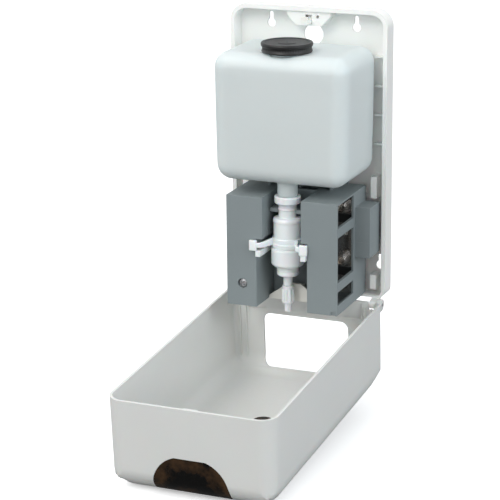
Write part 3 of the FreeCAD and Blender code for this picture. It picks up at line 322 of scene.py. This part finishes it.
white_abs = moulded("white_abs", (0.93, 0.925, 0.895), (0.88, 0.88, 0.855), 0.34,
                    Edge_colour=(0.95, 0.95, 0.93, 1), Dust=0.10,
                    constants=[("Coat Weight", 0.12), ("Coat Roughness", 0.25),
                               ("Subsurface Weight", 0.08), ("Subsurface Scale", 0.002)])
finish_node("back_plate", white_abs)


# ---------------------------------------------------------------- latch
# The housing is moulded in the same white ABS and holds a slider of acetal
# whose hook catches the cover; a key lifts it from above.
acetal = moulded("acetal", (0.90, 0.90, 0.87), (0.84, 0.84, 0.80), 0.28, Grain_height=0.00001,
                 constants=[("Subsurface Weight", 0.15), ("Subsurface Scale", 0.002)])
finish_node("latch_housing", white_abs)
finish_node("latch_slider", acetal)


# ---------------------------------------------------------------- hinge pins
# Two steel pins pressed through the plate's lugs and the cover's ears.
metal_skin, given, out = new_group("metal_skin", [
    ("Colour", (0.6, 0.6, 0.6, 1)), ("Tarnish", (0.4, 0.33, 0.25, 1)), ("Roughness", 0.2),
    ("Draw marks", 0.3)],
    [("Colour", "NodeSocketColor"), ("Roughness", "NodeSocketFloat"),
     ("Normal", "NodeSocketVector")])
tree = metal_skin
where = tree.nodes.new("ShaderNodeTexCoord").outputs["Object"]
stain = node_in(tree, "ShaderNodeTexNoise", Vector=where, Scale=180.0, Detail=5.0, Roughness=0.7)
marks = node_in(tree, "ShaderNodeTexNoise", Scale=1.0, Detail=3.0, Vector=node_in(
    tree, "ShaderNodeMapping", Vector=where, Scale=(5200.0, 900.0, 5200.0)).outputs[0])
share = maths(tree, "MULTIPLY",
              maths(tree, "SUBTRACT", stain.outputs["Fac"], 0.45, True), 3.0, True)
tree.links.new(blended(tree, share, given.outputs["Colour"], given.outputs["Tarnish"]),
               out.inputs["Colour"])
tree.links.new(maths(tree, "ADD", given.outputs["Roughness"],
                     maths(tree, "MULTIPLY", maths(tree, "MULTIPLY", marks.outputs["Fac"],
                                                   given.outputs["Draw marks"]), 0.5), True),
               out.inputs["Roughness"])
raised = node_in(tree, "ShaderNodeBump", Strength=0.4, Distance=0.00002,
                 Height=marks.outputs["Fac"],
                 Normal=node_in(tree, "ShaderNodeBevel", samples=4, Radius=0.0003).outputs[0])
tree.links.new(raised.outputs[0], out.inputs["Normal"])


def metal(name, colour, tarnish, roughness, marks=0.3):
    """Bare or plated metal with the metal skin."""
    material = bpy.data.materials.new(name)
    material.use_nodes = True
    tree = material.node_tree
    shader = tree.nodes["Principled BSDF"]
    shader.inputs["Metallic"].default_value = 1.0
    skin = tree.nodes.new("ShaderNodeGroup")
    skin.node_tree = metal_skin
    skin.inputs["Colour"].default_value = (*colour, 1)
    skin.inputs["Tarnish"].default_value = (*tarnish, 1)
    skin.inputs["Roughness"].default_value = roughness
    skin.inputs["Draw marks"].default_value = marks
    tree.links.new(skin.outputs["Colour"], shader.inputs["Base Color"])
    tree.links.new(skin.outputs["Roughness"], shader.inputs["Roughness"])
    tree.links.new(skin.outputs["Normal"], shader.inputs["Normal"])
    return material


steel = metal("steel", (0.55, 0.55, 0.56), (0.36, 0.34, 0.33), 0.30)
finish_node("hinge_pins", steel)


# ---------------------------------------------------------------- mechanism
# Chassis, drive cover, battery box and adapter box, moulded in mid grey ABS
# with a fine matte texture and screwed to bosses on the plate.
grey_abs = moulded("grey_abs", (0.245, 0.280, 0.288), (0.215, 0.248, 0.255), 0.55,
                   Edge_colour=(0.42, 0.455, 0.46, 1), Dust_colour=(0.46, 0.44, 0.40, 1), Dust=0.25,
                   Grain_height=0.00006, Grain_size=1500.0, Scuffs=0.14,
                   constants=[("Specular IOR Level", 0.45)])
for name in ("chassis", "drive_cover", "adapter_box", "adapter_lid", "pump_saddle",
             "motor_bracket"):
    finish_node(name, grey_abs)
# the sensor's hood is moulded in pale ABS so that the light it scatters is white
hood_abs = moulded("hood_abs", (0.80, 0.79, 0.74), (0.74, 0.73, 0.68), 0.42, Dust=0.12)
finish_node("sensor_housing", hood_abs)
# the battery box is the same grey; inside its bay the colour is painted shade, darkened to near black
bay_abs_painted_shade = moulded("bay_abs_painted_shade", (0.245, 0.280, 0.288), (0.215, 0.248, 0.255), 0.55,
                  Edge_colour=(0.42, 0.455, 0.46, 1), Dust_colour=(0.46, 0.44, 0.40, 1), Dust=0.25,
                  Grain_height=0.00006, Grain_size=1500.0, Scuffs=0.14)
tree = bay_abs_painted_shade.node_tree
spot = node_in(tree, "ShaderNodeSeparateXYZ",
               Vector=tree.nodes.new("ShaderNodeTexCoord").outputs["Object"])
box_low, box_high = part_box("battery_box")
# painted shade: a box mask over the inside of the bay, where only shade falls, marks where the grey is
# darkened
bay_shade = maths(tree, "MULTIPLY", maths(tree, "GREATER_THAN", spot.outputs["X"], box_low.x + 0.0012),
             maths(tree, "LESS_THAN", spot.outputs["X"], box_high.x - 0.0030))
bay_shade = maths(tree, "MULTIPLY", bay_shade, maths(tree, "MULTIPLY",
             maths(tree, "GREATER_THAN", spot.outputs["Y"], box_low.y + 0.0016),
             maths(tree, "GREATER_THAN", spot.outputs["Z"], box_low.z + 0.0050)))
bay_shade = maths(tree, "MULTIPLY", bay_shade,
             maths(tree, "LESS_THAN", spot.outputs["Z"], box_high.z - 0.0012))
skin_out = next(n for n in tree.nodes if n.type == "GROUP").outputs["Colour"]
# the colour is mixed towards near black inside the mask as painted shade
tree.links.new(blended(tree, maths(tree, "MULTIPLY", bay_shade, 0.88), skin_out,
                       (0.010, 0.009, 0.008, 1)),
               tree.nodes["Principled BSDF"].inputs["Base Color"])
finish_node("battery_box", bay_abs_painted_shade)
finish_node("chassis_screws", steel)


# ---------------------------------------------------------------- drive train
# Small steel-cased motor, acetal gears on a steel axle, and the white rack
# whose fork lifts the pump.
finish_node("motor", steel)
finish_node("gear_axle", steel)
for name in ("motor_pinion", "drive_gear"):
    finish_node(name, acetal)
white_pp = moulded("white_pp", (0.90, 0.92, 0.93), (0.86, 0.885, 0.90), 0.26, Grain_height=0.00001,
                   Edge_colour=(0.98, 0.98, 0.98, 1), Dust=0.03,
                   constants=[("Subsurface Weight", 0.25), ("Subsurface Scale", 0.003),
                              ("Coat Weight", 0.15)])
finish_node("lift_fork", white_pp)


# ---------------------------------------------------------------- circuit boards
# Glass-epoxy boards with green lacquer; the sensor's lenses are dark acrylic.
board = moulded("circuit_board", (0.02, 0.12, 0.06), (0.015, 0.08, 0.04), 0.3, Grain_size=900.0)
dark_lens = moulded("dark_lens", (0.012, 0.010, 0.014), (0.02, 0.012, 0.02), 0.08,
                    Grain_height=0.0, constants=[("Coat Weight", 0.6), ("Coat Roughness", 0.03)])
for name in ("control_board", "sensor_board"):
    finish_node(name, board)
finish_node("sensor_lenses", dark_lens)


# ---------------------------------------------------------------- battery contacts
# Springs and buttons of nickel-plated wire and strip, pushed into slots in
# the battery box; the adapter's jack is plated too.
nickel = metal("nickel", (0.86, 0.84, 0.80), (0.46, 0.34, 0.22), 0.12, 0.2)
for name in ("front_top_contact", "front_bottom_contact", "adapter_jack"):
    finish_node(name, nickel)
wire_nickel = metal("wire_nickel", (0.95, 0.93, 0.90), (0.60, 0.46, 0.32), 0.18, 0.15)


def wound(name, centre, along, base_r, top_r, tall, wire_r, turns):
    """Wire coil from a centre along Y or Z.

    Each step of the path is at an even angle; its radius runs from base_r
    to top_r and its height waits for half a turn at each end, so the end
    turns lie flat. A circle of the wire's radius is carried along it.
    """
    share = np.linspace(0, 1, int(36 * turns) + 1)[:, None, None]
    dead = 0.5 / turns
    rise = tall * ((share - dead) / (1 - 2 * dead)).clip(0, 1) + wire_r
    angle = 2 * np.pi * turns * share
    round_wire = -np.linspace(0, 2 * np.pi, 12, endpoint=False)[None, :, None]
    axis = np.array(along, float)
    first = np.array([1.0, 0, 0])
    second = np.cross(axis, first)
    radial = np.cos(angle) * first + np.sin(angle) * second
    reach = base_r + (top_r - base_r) * share + wire_r * np.cos(round_wire)
    points = np.array(centre) + radial * reach + axis * (rise + wire_r * np.sin(round_wire))
    return surface(name, points, cap_start=True, cap_end=True)


def joined(name, pieces):
    """The first piece with the meshes of the others added to it."""
    mesh = bmesh.new()
    for piece in pieces:
        mesh.from_mesh(piece.data)
    for piece in pieces[1:]:
        bpy.data.objects.remove(piece)
    mesh.to_mesh(pieces[0].data)
    mesh.free()
    pieces[0].name = pieces[0].data.name = name
    return pieces[0]


# a rear contact is a strip of sheet against the bay's back wall with a
# tapered spring for the minus end, a domed button for the plus end, or both
cell_x = 0.0436
wall_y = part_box("rear_middle_contact")[1].y
for label, spring_z, button_z in (("top", 0.0956, None), ("middle", 0.0428, 0.0692),
                                  ("bottom", None, 0.0164)):
    low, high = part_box(f"rear_{label}_contact")
    middle_x, middle_z = (low.x + high.x) / 2, (low.z + high.z) / 2
    angle = np.linspace(0, 2 * np.pi, 64, endpoint=False)
    half_x, half_z = min((high.x - low.x) / 2, 0.009), (high.z - low.z) / 2
    edge = np.stack([np.sign(np.cos(angle)) * half_x * np.abs(np.cos(angle)) ** 0.22,
                     np.sign(np.sin(angle)) * half_z * np.abs(np.sin(angle)) ** 0.22], -1)
    rows = np.array([[0.97, 0.0], [1.0, 0.0001], [1.0, 0.0004], [0.97, 0.0005]])
    strip = surface("strip", np.stack([
        middle_x - rows[:, :1] * edge[None, :, 0], wall_y - rows[:, 1:] + 0 * edge[None, :, 0],
        middle_z + rows[:, :1] * edge[None, :, 1]], -1)[::-1], cap_start=True, cap_end=True)
    pieces = [strip]
    if spring_z:
        pieces.append(wound("spring", (cell_x, wall_y - 0.0005, spring_z), (0, -1, 0),
                            0.0078, 0.0044, 0.0088, 0.00052, 5.5))
    if button_z:
        reach = 0.0046 * np.array([1.0, 1.0, 0.93, 0.8, 0.74, 0.70, 0.66, 0.5, 0.3, 0.1])
        stand = 0.001 * np.array([0.5, 0.62, 0.8, 0.95, 1.4, 2.0, 2.3, 2.5, 2.58, 2.6])
        pieces.append(surface("button", np.stack([
            cell_x + reach[:, None] * np.cos(angle), wall_y - stand[:, None] + 0 * angle,
            button_z + reach[:, None] * np.sin(angle)], -1), cap_start=True, cap_end=True))
    contact = joined(f"sprung_contact_{label}", pieces)
    contact.data.materials.append(wire_nickel)
    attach(contact, "mount")
    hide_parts(f"rear_{label}_contact")


# ---------------------------------------------------------------- drive cover screw
# Pan head screw of zinc-plated steel with a cross recess.
screw_low, screw_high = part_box("drive_cover_screw")
screw_x, screw_z = (screw_low.x + screw_high.x) / 2, (screw_low.z + screw_high.z) / 2
head_r = (screw_high.x - screw_low.x) / 2
reach = np.concatenate([[0.0004, 0.00145, 0.00145, head_r * 0.96, head_r],
                        head_r * np.linspace(0.99, 0.02, 46)])
back = screw_high.y - screw_low.y
depth = np.concatenate([[back, back - 0.001, 0.0022, 0.0022, 0.0017],
                        0.0014 * (1 - np.sqrt(1 - np.linspace(0.99, 0.02, 46) ** 2))])
angle = np.linspace(0, 2 * np.pi, 120, endpoint=False)[None, :]
across, upright = reach[:, None] * np.cos(angle), reach[:, None] * np.sin(angle)
from_arm = np.minimum(abs(across + upright), abs(across - upright)) / 1.414
arm = np.clip((0.00075 - from_arm) / 0.0002, 0, 1)
recess = 0.0017 * arm * np.clip((0.0027 - reach[:, None]) / 0.0004, 0, 1)
recess = recess * (depth[:, None] < 0.0016)
screw = surface("cross_screw", np.stack([screw_x - across, screw_low.y + depth[:, None] + recess,
                                         screw_z + upright], -1), cap_start=True, cap_end=True)
screw.data.materials.append(steel)
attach(screw, "mount")
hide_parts("drive_cover_screw")


# ---------------------------------------------------------------- bottle
# Refillable bottle of natural HDPE, extrusion blown: soft corners, slightly
# crowned faces, a parting line round the middle, a spout below and a
# filler neck on top.
natural_hdpe = moulded("natural_hdpe", (0.76, 0.88, 0.895), (0.72, 0.845, 0.86), 0.40,
                       Grain_size=700.0, Grain_height=0.00002, Cloud_size=9.0, Dust=0.03,
                       Edge_colour=(0.84, 0.89, 0.90, 1), Scuffs=0.06,
                       constants=[("Subsurface Weight", 0.5), ("Subsurface Scale", 0.012),
                                  ("Subsurface Radius", (0.8, 1.0, 1.1))])


def soft_square(half_x, half_y, radius, arc=12, flat=12):
    """Ring of points round a square with round corners.

    Four quarter arcs stand about centres set in by the radius, and evenly
    spaced points fill the straight runs from each arc to the next.
    """
    angle = np.arange(4)[:, None] * np.pi / 2 + np.linspace(0, np.pi / 2, arc)[None, :]
    side_x, side_y = np.array([[1], [-1], [-1], [1]]), np.array([[1], [1], [-1], [-1]])
    arcs = np.stack([side_x * (half_x - radius) + radius * np.cos(angle),
                     side_y * (half_y - radius) + radius * np.sin(angle)], -1)
    share = ((np.arange(flat) + 1) / (flat + 1))[None, :, None]
    runs = arcs[:, -1:] * (1 - share) + np.roll(arcs, -1, axis=0)[:, :1] * share
    return np.concatenate([arcs, runs], 1).reshape(-1, 2)


bottle_low, bottle_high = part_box("bottle")
spout_low, body_low, body_high = bottle_low.z, 0.1246, 0.2468
pump_x, pump_y = 0.0, -0.0715
middle_y = (bottle_low.y + bottle_high.y) / 2
half_deep = (bottle_high.y - bottle_low.y) / 2


def bottle_skin(wall):
    """Rows of the bottle from spout to filler neck, moved inwards by wall.

    Height, inset and share run together down the list. A row is a ring at
    that inset from a soft square, mixed by its share with a circle of the
    given radius about the pump's axis. The sides narrow downwards and the
    faces swell by a squared-sine crown between their edges.
    """
    edge, fine = 0.015, np.linspace(0, np.pi / 2, 9)
    low, high = body_low + wall, body_high - wall
    rows = [(spout_low, 0, 0, 0.0096 - wall * 1.35), (low - 0.0045, 0, 0, 0.0096 - wall * 1.35),
            (low - 0.0012, 0, 0, 0.0102 - wall), (low, 0, 0, 0.0125 - wall),
            (low, edge, 0.35, 0.013), (low, edge, 0.7, 0.013), (low, edge, 0.97, 0.013)]
    rows += [(low + edge * (1 - math.cos(a)), edge * (1 - math.sin(a)), 1, 0) for a in fine]
    rows += [(z, 0, 1, 0) for z in np.linspace(low + edge, high - edge, 16)[1:-1]]
    rows += [(high - edge * (1 - math.sin(a)), edge * (1 - math.cos(a)), 1, 0) for a in fine]
    rows += [(high, edge, 0.97, 0.024), (high, edge, 0.6, 0.024), (high, edge, 0.25, 0.024),
             (high, 0, 0, 0.0222 - wall * 1.35), (high + 0.0006, 0, 0, 0.0209 - wall * 1.35),
             (high + 0.0016, 0, 0, 0.0205 - wall * 1.35),
             (bottle_high.z, 0, 0, 0.0205 - wall * 1.35)]
    rings = []
    for z, inset, share, radius in rows:
        up = np.clip((z - body_low) / (body_high - body_low), 0, 1)
        half_wide = 0.0655 + 0.0015 * up - wall
        square = soft_square(half_wide - inset, half_deep - wall - inset,
                             max(edge - inset, 0.0008))
        crown = 0.0006 * math.sin(math.pi * up) ** 2 * share
        reach = 1 - np.abs(square / [half_wide, half_deep]) ** 2
        square = square + crown * np.sign(square) * np.roll(reach, 1, axis=1).clip(0, 1)
        angle = np.arctan2(square[:, 1] + middle_y - pump_y, square[:, 0] - pump_x)
        circle = np.stack([pump_x + radius * np.cos(angle), pump_y + radius * np.sin(angle)], -1)
        flat = (1 - share) * circle + share * (square + [0, middle_y])
        rings.append(np.column_stack([flat, np.full(len(flat), z)]))
    return np.array(rings)


bottle = surface("blown_bottle", np.concatenate([bottle_skin(0), bottle_skin(0.0016)[::-1]]),
                 closed_v=True)
parting = natural_hdpe.node_tree
place = parting.nodes.new("ShaderNodeSeparateXYZ")
parting.links.new(parting.nodes.new("ShaderNodeTexCoord").outputs["Object"], place.inputs[0])
off = maths(parting, "ABSOLUTE", maths(parting, "SUBTRACT", place.outputs["Y"], middle_y))
seam = maths(parting, "MULTIPLY", maths(parting, "SUBTRACT", 0.0005, off, True), 2000.0, True)
ridge = node_in(parting, "ShaderNodeBump", Strength=0.7, Distance=0.0002, Height=seam,
                Normal=next(n for n in parting.nodes if n.type == "GROUP").outputs["Normal"])
parting.links.new(ridge.outputs[0], parting.nodes["Principled BSDF"].inputs["Normal"])
bottle.data.materials.append(natural_hdpe)
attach(bottle, "bottle_unit")
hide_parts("bottle")


# ---------------------------------------------------------------- refill cap
# Black cap of soft thermoplastic, pushed over the filler neck on a seal.
def softened(outline, radius, steps=5):
    """Outline in millimetres with its inner corners rounded.

    Each corner becomes a short curve, the corner weighted with a point
    either side of it: (1-t)^2 first + 2t(1-t) corner + t^2 second. A point
    just outside each end of the curve keeps the straight runs flat.
    """
    line = np.array(outline, float)
    before, corner, after = line[:-2], line[1:-1], line[2:]
    reach_1 = np.linalg.norm(before - corner, axis=1, keepdims=True)
    reach_2 = np.linalg.norm(after - corner, axis=1, keepdims=True)
    cut = np.minimum(radius, 0.42 * np.minimum(reach_1, reach_2))
    first = corner + (before - corner) / reach_1 * cut
    second = corner + (after - corner) / reach_2 * cut
    t = np.linspace(0, 1, steps)[None, :, None]
    curve = ((1 - t) ** 2 * first[:, None] + 2 * t * (1 - t) * corner[:, None]
             + t ** 2 * second[:, None])
    lead = (first + (first - corner) * 0.12)[:, None]
    trail = (second + (second - corner) * 0.12)[:, None]
    inner = np.concatenate([lead, curve, trail], 1).reshape(-1, 2)
    return np.vstack([line[:1], inner, line[-1:]])


def turned(name, outline, radius=0.5, closed=True, columns=112, ripple=None):
    """Piece turned about the pump's axis from an outline of radius and height.

    The outline runs up the outside and down the bore. Every point goes
    round a circle; ripple may add to its radius by angle and height.
    """
    line = np.array(outline + outline[:1] if closed else outline, float)
    line = softened(line, radius)[:-1 if closed else None] * 0.001
    angle = np.linspace(0, 2 * np.pi, columns, endpoint=False)[None, :]
    reach, rise = line[:, :1], line[:, 1:]
    if ripple is not None:
        reach = reach + ripple(angle, reach, rise)
    points = np.stack([pump_x + reach * np.cos(angle), pump_y + reach * np.sin(angle),
                       rise + 0 * angle], -1)
    return surface(name, points, closed_v=closed, cap_start=not closed, cap_end=not closed)


black_rubber = moulded("black_rubber", (0.012, 0.012, 0.0115), (0.007, 0.007, 0.007), 0.42,
                       Edge_colour=(0.07, 0.07, 0.068, 1), Dust_colour=(0.16, 0.155, 0.15, 1), Dust=0.14)
# thin lid with a shallow dish and raised rim, a narrower ribbed skirt and a
# bead at its foot, hollow underneath
cap = turned("pressed_cap", [
    (21.0, 247.0), (23.3, 247.0), (23.9, 248.2), (23.3, 249.4), (22.9, 250.4), (22.9, 251.9),
    (24.2, 253.1), (24.4, 255.2), (23.6, 256.3), (21.6, 256.3), (20.8, 255.6), (9.0, 255.3),
    (8.4, 255.8), (0.6, 255.9), (0.6, 253.5), (21.0, 253.4)], 0.5, columns=180,
    ripple=lambda angle, reach, rise: 0.00022 * np.sin(60 * angle)
    * ((reach > 0.0222) & (rise > 0.2496) & (rise < 0.2524)))
cap.data.materials.append(black_rubber)
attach(cap, "cap")
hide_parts("refill_cap")
for name in ("cap_seal", "neck_gasket"):
    finish_node(name, black_rubber)


# ---------------------------------------------------------------- pump
# Body, collar, bell, stem and nozzle of white polypropylene on a steel rod.
pump_parts = (
    ("pump_body", "bottle_unit", False, None, [
        (0.3, 78.0), (12.0, 78.0), (12.0, 56.0), (13.6, 56.0), (13.6, 84.0), (14.0, 84.5),
        (14.0, 86.6), (12.9, 88.5), (9.3, 88.8), (8.7, 89.6), (8.7, 95.9), (9.15, 96.3),
        (9.15, 97.4), (8.7, 97.8), (8.7, 101.6), (9.5, 102.6), (12.0, 102.7), (12.6, 103.4),
        (12.6, 108.9), (12.1, 109.7), (9.7, 109.7), (9.7, 104.6), (6.4, 104.6), (6.4, 81.0),
        (0.3, 81.0)]),
    ("pump_bell", "plunger", True, None, [
        (2.9, 40.8), (13.6, 40.8), (16.0, 43.4), (16.0, 57.6), (15.6, 58.0), (15.6, 59.5),
        (13.95, 59.5), (13.95, 43.1), (2.9, 43.1)]),
    ("pump_stem", "plunger", True, None, [
        (1.45, 20.9), (4.0, 20.9), (4.4, 21.6), (4.4, 30.4), (5.4, 31.2), (9.3, 31.2),
        (10.6, 32.5), (10.6, 35.0), (10.2, 35.3), (10.2, 36.0), (10.6, 36.3), (10.6, 40.7),
        (1.45, 40.7)]),
    ("nozzle", "plunger", True,
     lambda angle, reach, rise: 0.00045 * np.cos(8 * angle)
     * ((reach > 0.0057) & (rise > 0.006) & (rise < 0.0175)), [
         (1.45, -5.4), (2.8, -5.4), (3.4, -4.6), (3.4, 2.8), (4.2, 3.3), (5.4, 3.4), (6.1, 4.6),
         (6.1, 5.8), (5.8, 6.2), (5.8, 17.2), (5.4, 17.8), (5.4, 20.8), (1.45, 20.8)]))
for name, body, closed, ripple, outline in pump_parts:
    part = turned("turned_" + name, outline, 0.55, closed, ripple=ripple)
    part.data.materials.append(white_pp)
    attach(part, body)
    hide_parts(name)
collar = turned("turned_collar", [
    (13.9, 59.6), (14.8, 59.6), (15.1, 60.3), (15.1, 62.4), (15.3, 62.8), (15.3, 64.0),
    (14.9, 64.4), (14.9, 68.6), (14.5, 69.4), (13.9, 69.4)], 0.3)
collar.data.materials.append(white_pp)
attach(collar, "plunger")
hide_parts("pump_collar")


def carried(name, path, half_wide, half_high, radius=0.6):
    """Bar with a softly squared section carried along a level path.

    Each section stands upright, square to the run of the path, at
    path + n * sideways + h * up; its two half sizes follow the path.
    """
    path = np.array(path, float)
    run = np.gradient(path, axis=0)
    run /= np.linalg.norm(run, axis=1, keepdims=True)
    sideways = np.stack([run[:, 1], -run[:, 0], 0 * run[:, 0]], -1)
    rings = [place + ring[:, :1] * along + ring[:, 1:] * np.array([0, 0, 1])
             for place, along, ring in zip(path, sideways, (
                 soft_square(w, h, min(radius, w * 0.9, h * 0.9), 5, 2)
                 for w, h in zip(half_wide, half_high)))]
    points = np.array(rings) * 0.001
    return surface(name, points, cap_start=True, cap_end=True)


# each wing is a thin curved arm that ends in an upright tab over the fork
for side, tip, inner, label in ((-1, -29.8, -22.4, "left"), (1, 28.5, 20.6, "right")):
    t = np.linspace(0, 1, 22)[:, None]
    hold = np.array([[side * 12.2, -79.0, 65.4], [side * 16.6, -88.0, 65.4],
                     [side * 14.5, -94.9, 64.9], [inner + side * 1.5, -94.9, 64.4]])
    arm_path = ((1 - t) ** 3 * hold[0] + 3 * t * (1 - t) ** 2 * hold[1]
                + 3 * t ** 2 * (1 - t) * hold[2] + t ** 3 * hold[3])
    share = t[:, 0]
    arm = carried("wing_arm_" + label, arm_path, 1.3 + 0 * share, 3.4 - 1.2 * share)
    u = np.array([0.0, 0.06, 0.12, 0.3, 0.5, 0.7, 0.88, 0.94, 1.0])
    swell = np.array([0.7, 0.93, 1, 1, 1, 1, 1, 0.93, 0.7])
    ends = sorted((tip, inner))
    tab_path = np.column_stack([ends[0] + u * (ends[1] - ends[0]), -94.9 + 0 * u, 64.1 + 0 * u])
    tab = carried("wing_tab_" + label, tab_path, 1.65 * swell, 5.0 * (0.94 + 0.06 * swell))
    for piece in (arm, tab):
        piece.data.materials.append(white_pp)
        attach(piece, "plunger")
finish_node("piston_rod", steel)
spring_low, spring_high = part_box("pump_spring")
spring = wound("pump_return_spring", (pump_x, pump_y, spring_low.z), (0, 0, 1), 0.010, 0.010,
               spring_high.z - spring_low.z - 0.0012, 0.0006, 8)
spring.data.materials.append(wire_nickel)
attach(spring, "bottle_unit")
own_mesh(spring)
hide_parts("pump_spring")


# ---------------------------------------------------------------- front cover
# One deep moulding of white ABS, smooth outside and matte inside, coloured darker than the plate as
# painted shade, with a drop-shaped level window of smoked polycarbonate pressed into it.
# painted shade: the same white ABS as the plate, given a darker colour to stand in for the shade on the
# cover's walls
cover_abs_painted_shade = moulded("cover_abs_painted_shade", (0.76, 0.765, 0.74), (0.715, 0.72, 0.70), 0.40,
                    Edge_colour=(0.94, 0.94, 0.93, 1), Dust=0.08, Grain_height=0.00004,
                    constants=[("Coat Weight", 0.08), ("Coat Roughness", 0.3),
                               ("Subsurface Weight", 0.08), ("Subsurface Scale", 0.002)])
hinge_y, hinge_z = frame["joints"][0]["pos_m"][1:]
close = (Matrix.Translation((0, hinge_y, hinge_z)) @ Matrix.Rotation(math.radians(-94), 4, "X")
         @ Matrix.Translation((0, -hinge_y, -hinge_z)))
shell = bmesh.new()
shell.from_mesh(nodes["front_cover"].data)
bmesh.ops.remove_doubles(shell, verts=shell.verts, dist=0.00001)
bmesh.ops.transform(shell, matrix=close, verts=shell.verts)
bmesh.ops.dissolve_limit(shell, angle_limit=0.006, verts=shell.verts, edges=shell.edges)
front_y, rim_y, low_z, high_z = -0.1059, -0.0184, -0.0025, 0.2815
cuts = [((s * x, 0, 0), (1, 0, 0))
        for s in (-1, 1) for x in (0.0565, 0.0610, 0.0655, 0.0690, 0.0725)]
cuts += [((0, front_y + y, 0), (0, 1, 0))
         for y in (0.0045, 0.009, 0.0135, 0.018, 0.023, 0.030, 0.038)]
cuts += [((0, 0, low_z + z), (0, 0, 1)) for z in (0.004, 0.008, 0.014, 0.022)]
cuts += [((0, 0, high_z - z), (0, 0, 1)) for z in (0.004, 0.008, 0.014, 0.022)]
for place, across in cuts:
    bmesh.ops.bisect_plane(shell, geom=shell.verts[:] + shell.edges[:] + shell.faces[:],
                           dist=0.000001, plane_co=place, plane_no=across)
shell.normal_update()
points = np.array([v.co for v in shell.verts])
facing = np.array([v.normal for v in shell.verts])

# The corners round the front are softer than their machined 9 mm. A point
# that lies farther than a radius from the corner's centre, by its distances
# in from side, front and end, is drawn back to that radius, or to the radius
# less the wall where it faces inwards. The end's part fades behind the front.
radius, wall = 0.020, 0.0025
half_wide = 0.0795 - 0.002 * (rim_y - points[:, 1]) / (rim_y - front_y)
inward = (radius - np.stack([half_wide - np.abs(points[:, 0]), points[:, 1] - front_y,
                             np.minimum(points[:, 2] - low_z, high_z - points[:, 2])], -1)).clip(0, None)
fade = (inward[:, 1] / radius * 1.5).clip(0, 1)
inward[:, 2] *= fade * fade * (3 - 2 * fade)
outward = np.stack([np.sign(points[:, 0]), -np.ones(len(points)),
                    np.sign(points[:, 2] - 0.14)], -1)
outside = (facing * outward * inward).sum(1) > 0
limit = np.where(outside, radius, radius - wall)
pull = (1 - limit / np.maximum(np.linalg.norm(inward, axis=1), 1e-9)).clip(0, 1)
points -= outward * inward * pull[:, None]
moulding = bpy.data.meshes.new("cover_moulding")
bmesh.ops.triangulate(shell, faces=[f for f in shell.faces if len(f.verts) > 4])
shell.to_mesh(moulding)
shell.free()
opened = close.inverted()
back_open = points @ np.array(opened.to_3x3()).T + np.array(opened.translation)
moulding.vertices.foreach_set("co", back_open.astype(np.float32).ravel())
moulding.polygons.foreach_set("use_smooth", np.ones(len(moulding.polygons), bool))
moulding.set_sharp_from_angle(angle=math.radians(32))
moulding.update()
cover = bpy.data.objects.new("cover_moulding", moulding)
scene.collection.objects.link(cover)
moulding.materials.clear()
moulding.materials.append(cover_abs_painted_shade)
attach(cover, "cover")
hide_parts("front_cover")
# two low ribs stiffen each corner of the underside
ribs = []
for x in (-69.5, -63.0, 63.0, 69.5):
    depth = np.linspace(-100.0, -25.0, 16)
    line = np.column_stack([0 * depth + x, depth, 0 * depth + 0.9])
    ribs.append(carried("rib", line, 0.6 + 0 * depth, 1.1 + 0 * depth, 0.4))
corner_ribs = joined("corner_ribs", ribs)
corner_ribs.data.transform(opened)
corner_ribs.data.materials.append(cover_abs_painted_shade)
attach(corner_ribs, "cover")
smoked_pc = moulded("smoked_pc", (0.002, 0.0018, 0.0015), (0.055, 0.028, 0.012), 0.12,
                    Cloud_size=21.0, Cloud_contrast=9.0, Grain_height=0.0,
                    Dust=0.02, Edge_wear=0.05,
                    constants=[("Specular IOR Level", 0.22)])
finish_node("level_window", smoked_pc)


# ---------------------------------------------------------------- rim fingers
# A thin saw-cut on each side of the plate's rim, straight up and then forwards,
# frees a springy finger that grips the cover; the cut shows as a dark line.
slits = []
for side in (-1, 1):
    t = np.linspace(0, 1, 9)[:, None]
    wall_x = side * 75.28
    upright = np.array([wall_x, -4.5, 180.0]) * (1 - t) + np.array([wall_x, -4.6, 198.0]) * t
    ring = soft_square(0.45, 0.06, 0.03, 3, 1)
    line = np.stack([upright[:, :1] + ring[None, :, 1], upright[:, 1:2] + ring[None, :, 0],
                     upright[:, 2:] + 0 * ring[None, :, 0]], -1) * 0.001
    slits.append(surface("slit", line[:, ::-1], cap_start=True, cap_end=True))
    forward = np.array([wall_x, -4.5, 180.4]) * (1 - t) + np.array([wall_x, -16.5, 180.4]) * t
    line = np.stack([forward[:, :1] + ring[None, :, 1], forward[:, 1:2] + 0 * ring[None, :, 0],
                     forward[:, 2:] + ring[None, :, 0]], -1) * 0.001
    slits.append(surface("slit", line[:, ::-1], cap_start=True, cap_end=True))
rim_slits = joined("rim_slits", slits)
normals = bmesh.new()
normals.from_mesh(rim_slits.data)
bmesh.ops.recalc_face_normals(normals, faces=normals.faces)
normals.to_mesh(rim_slits.data)
normals.free()
rim_slits.data.materials.append(dark_lens)
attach(rim_slits, "mount")
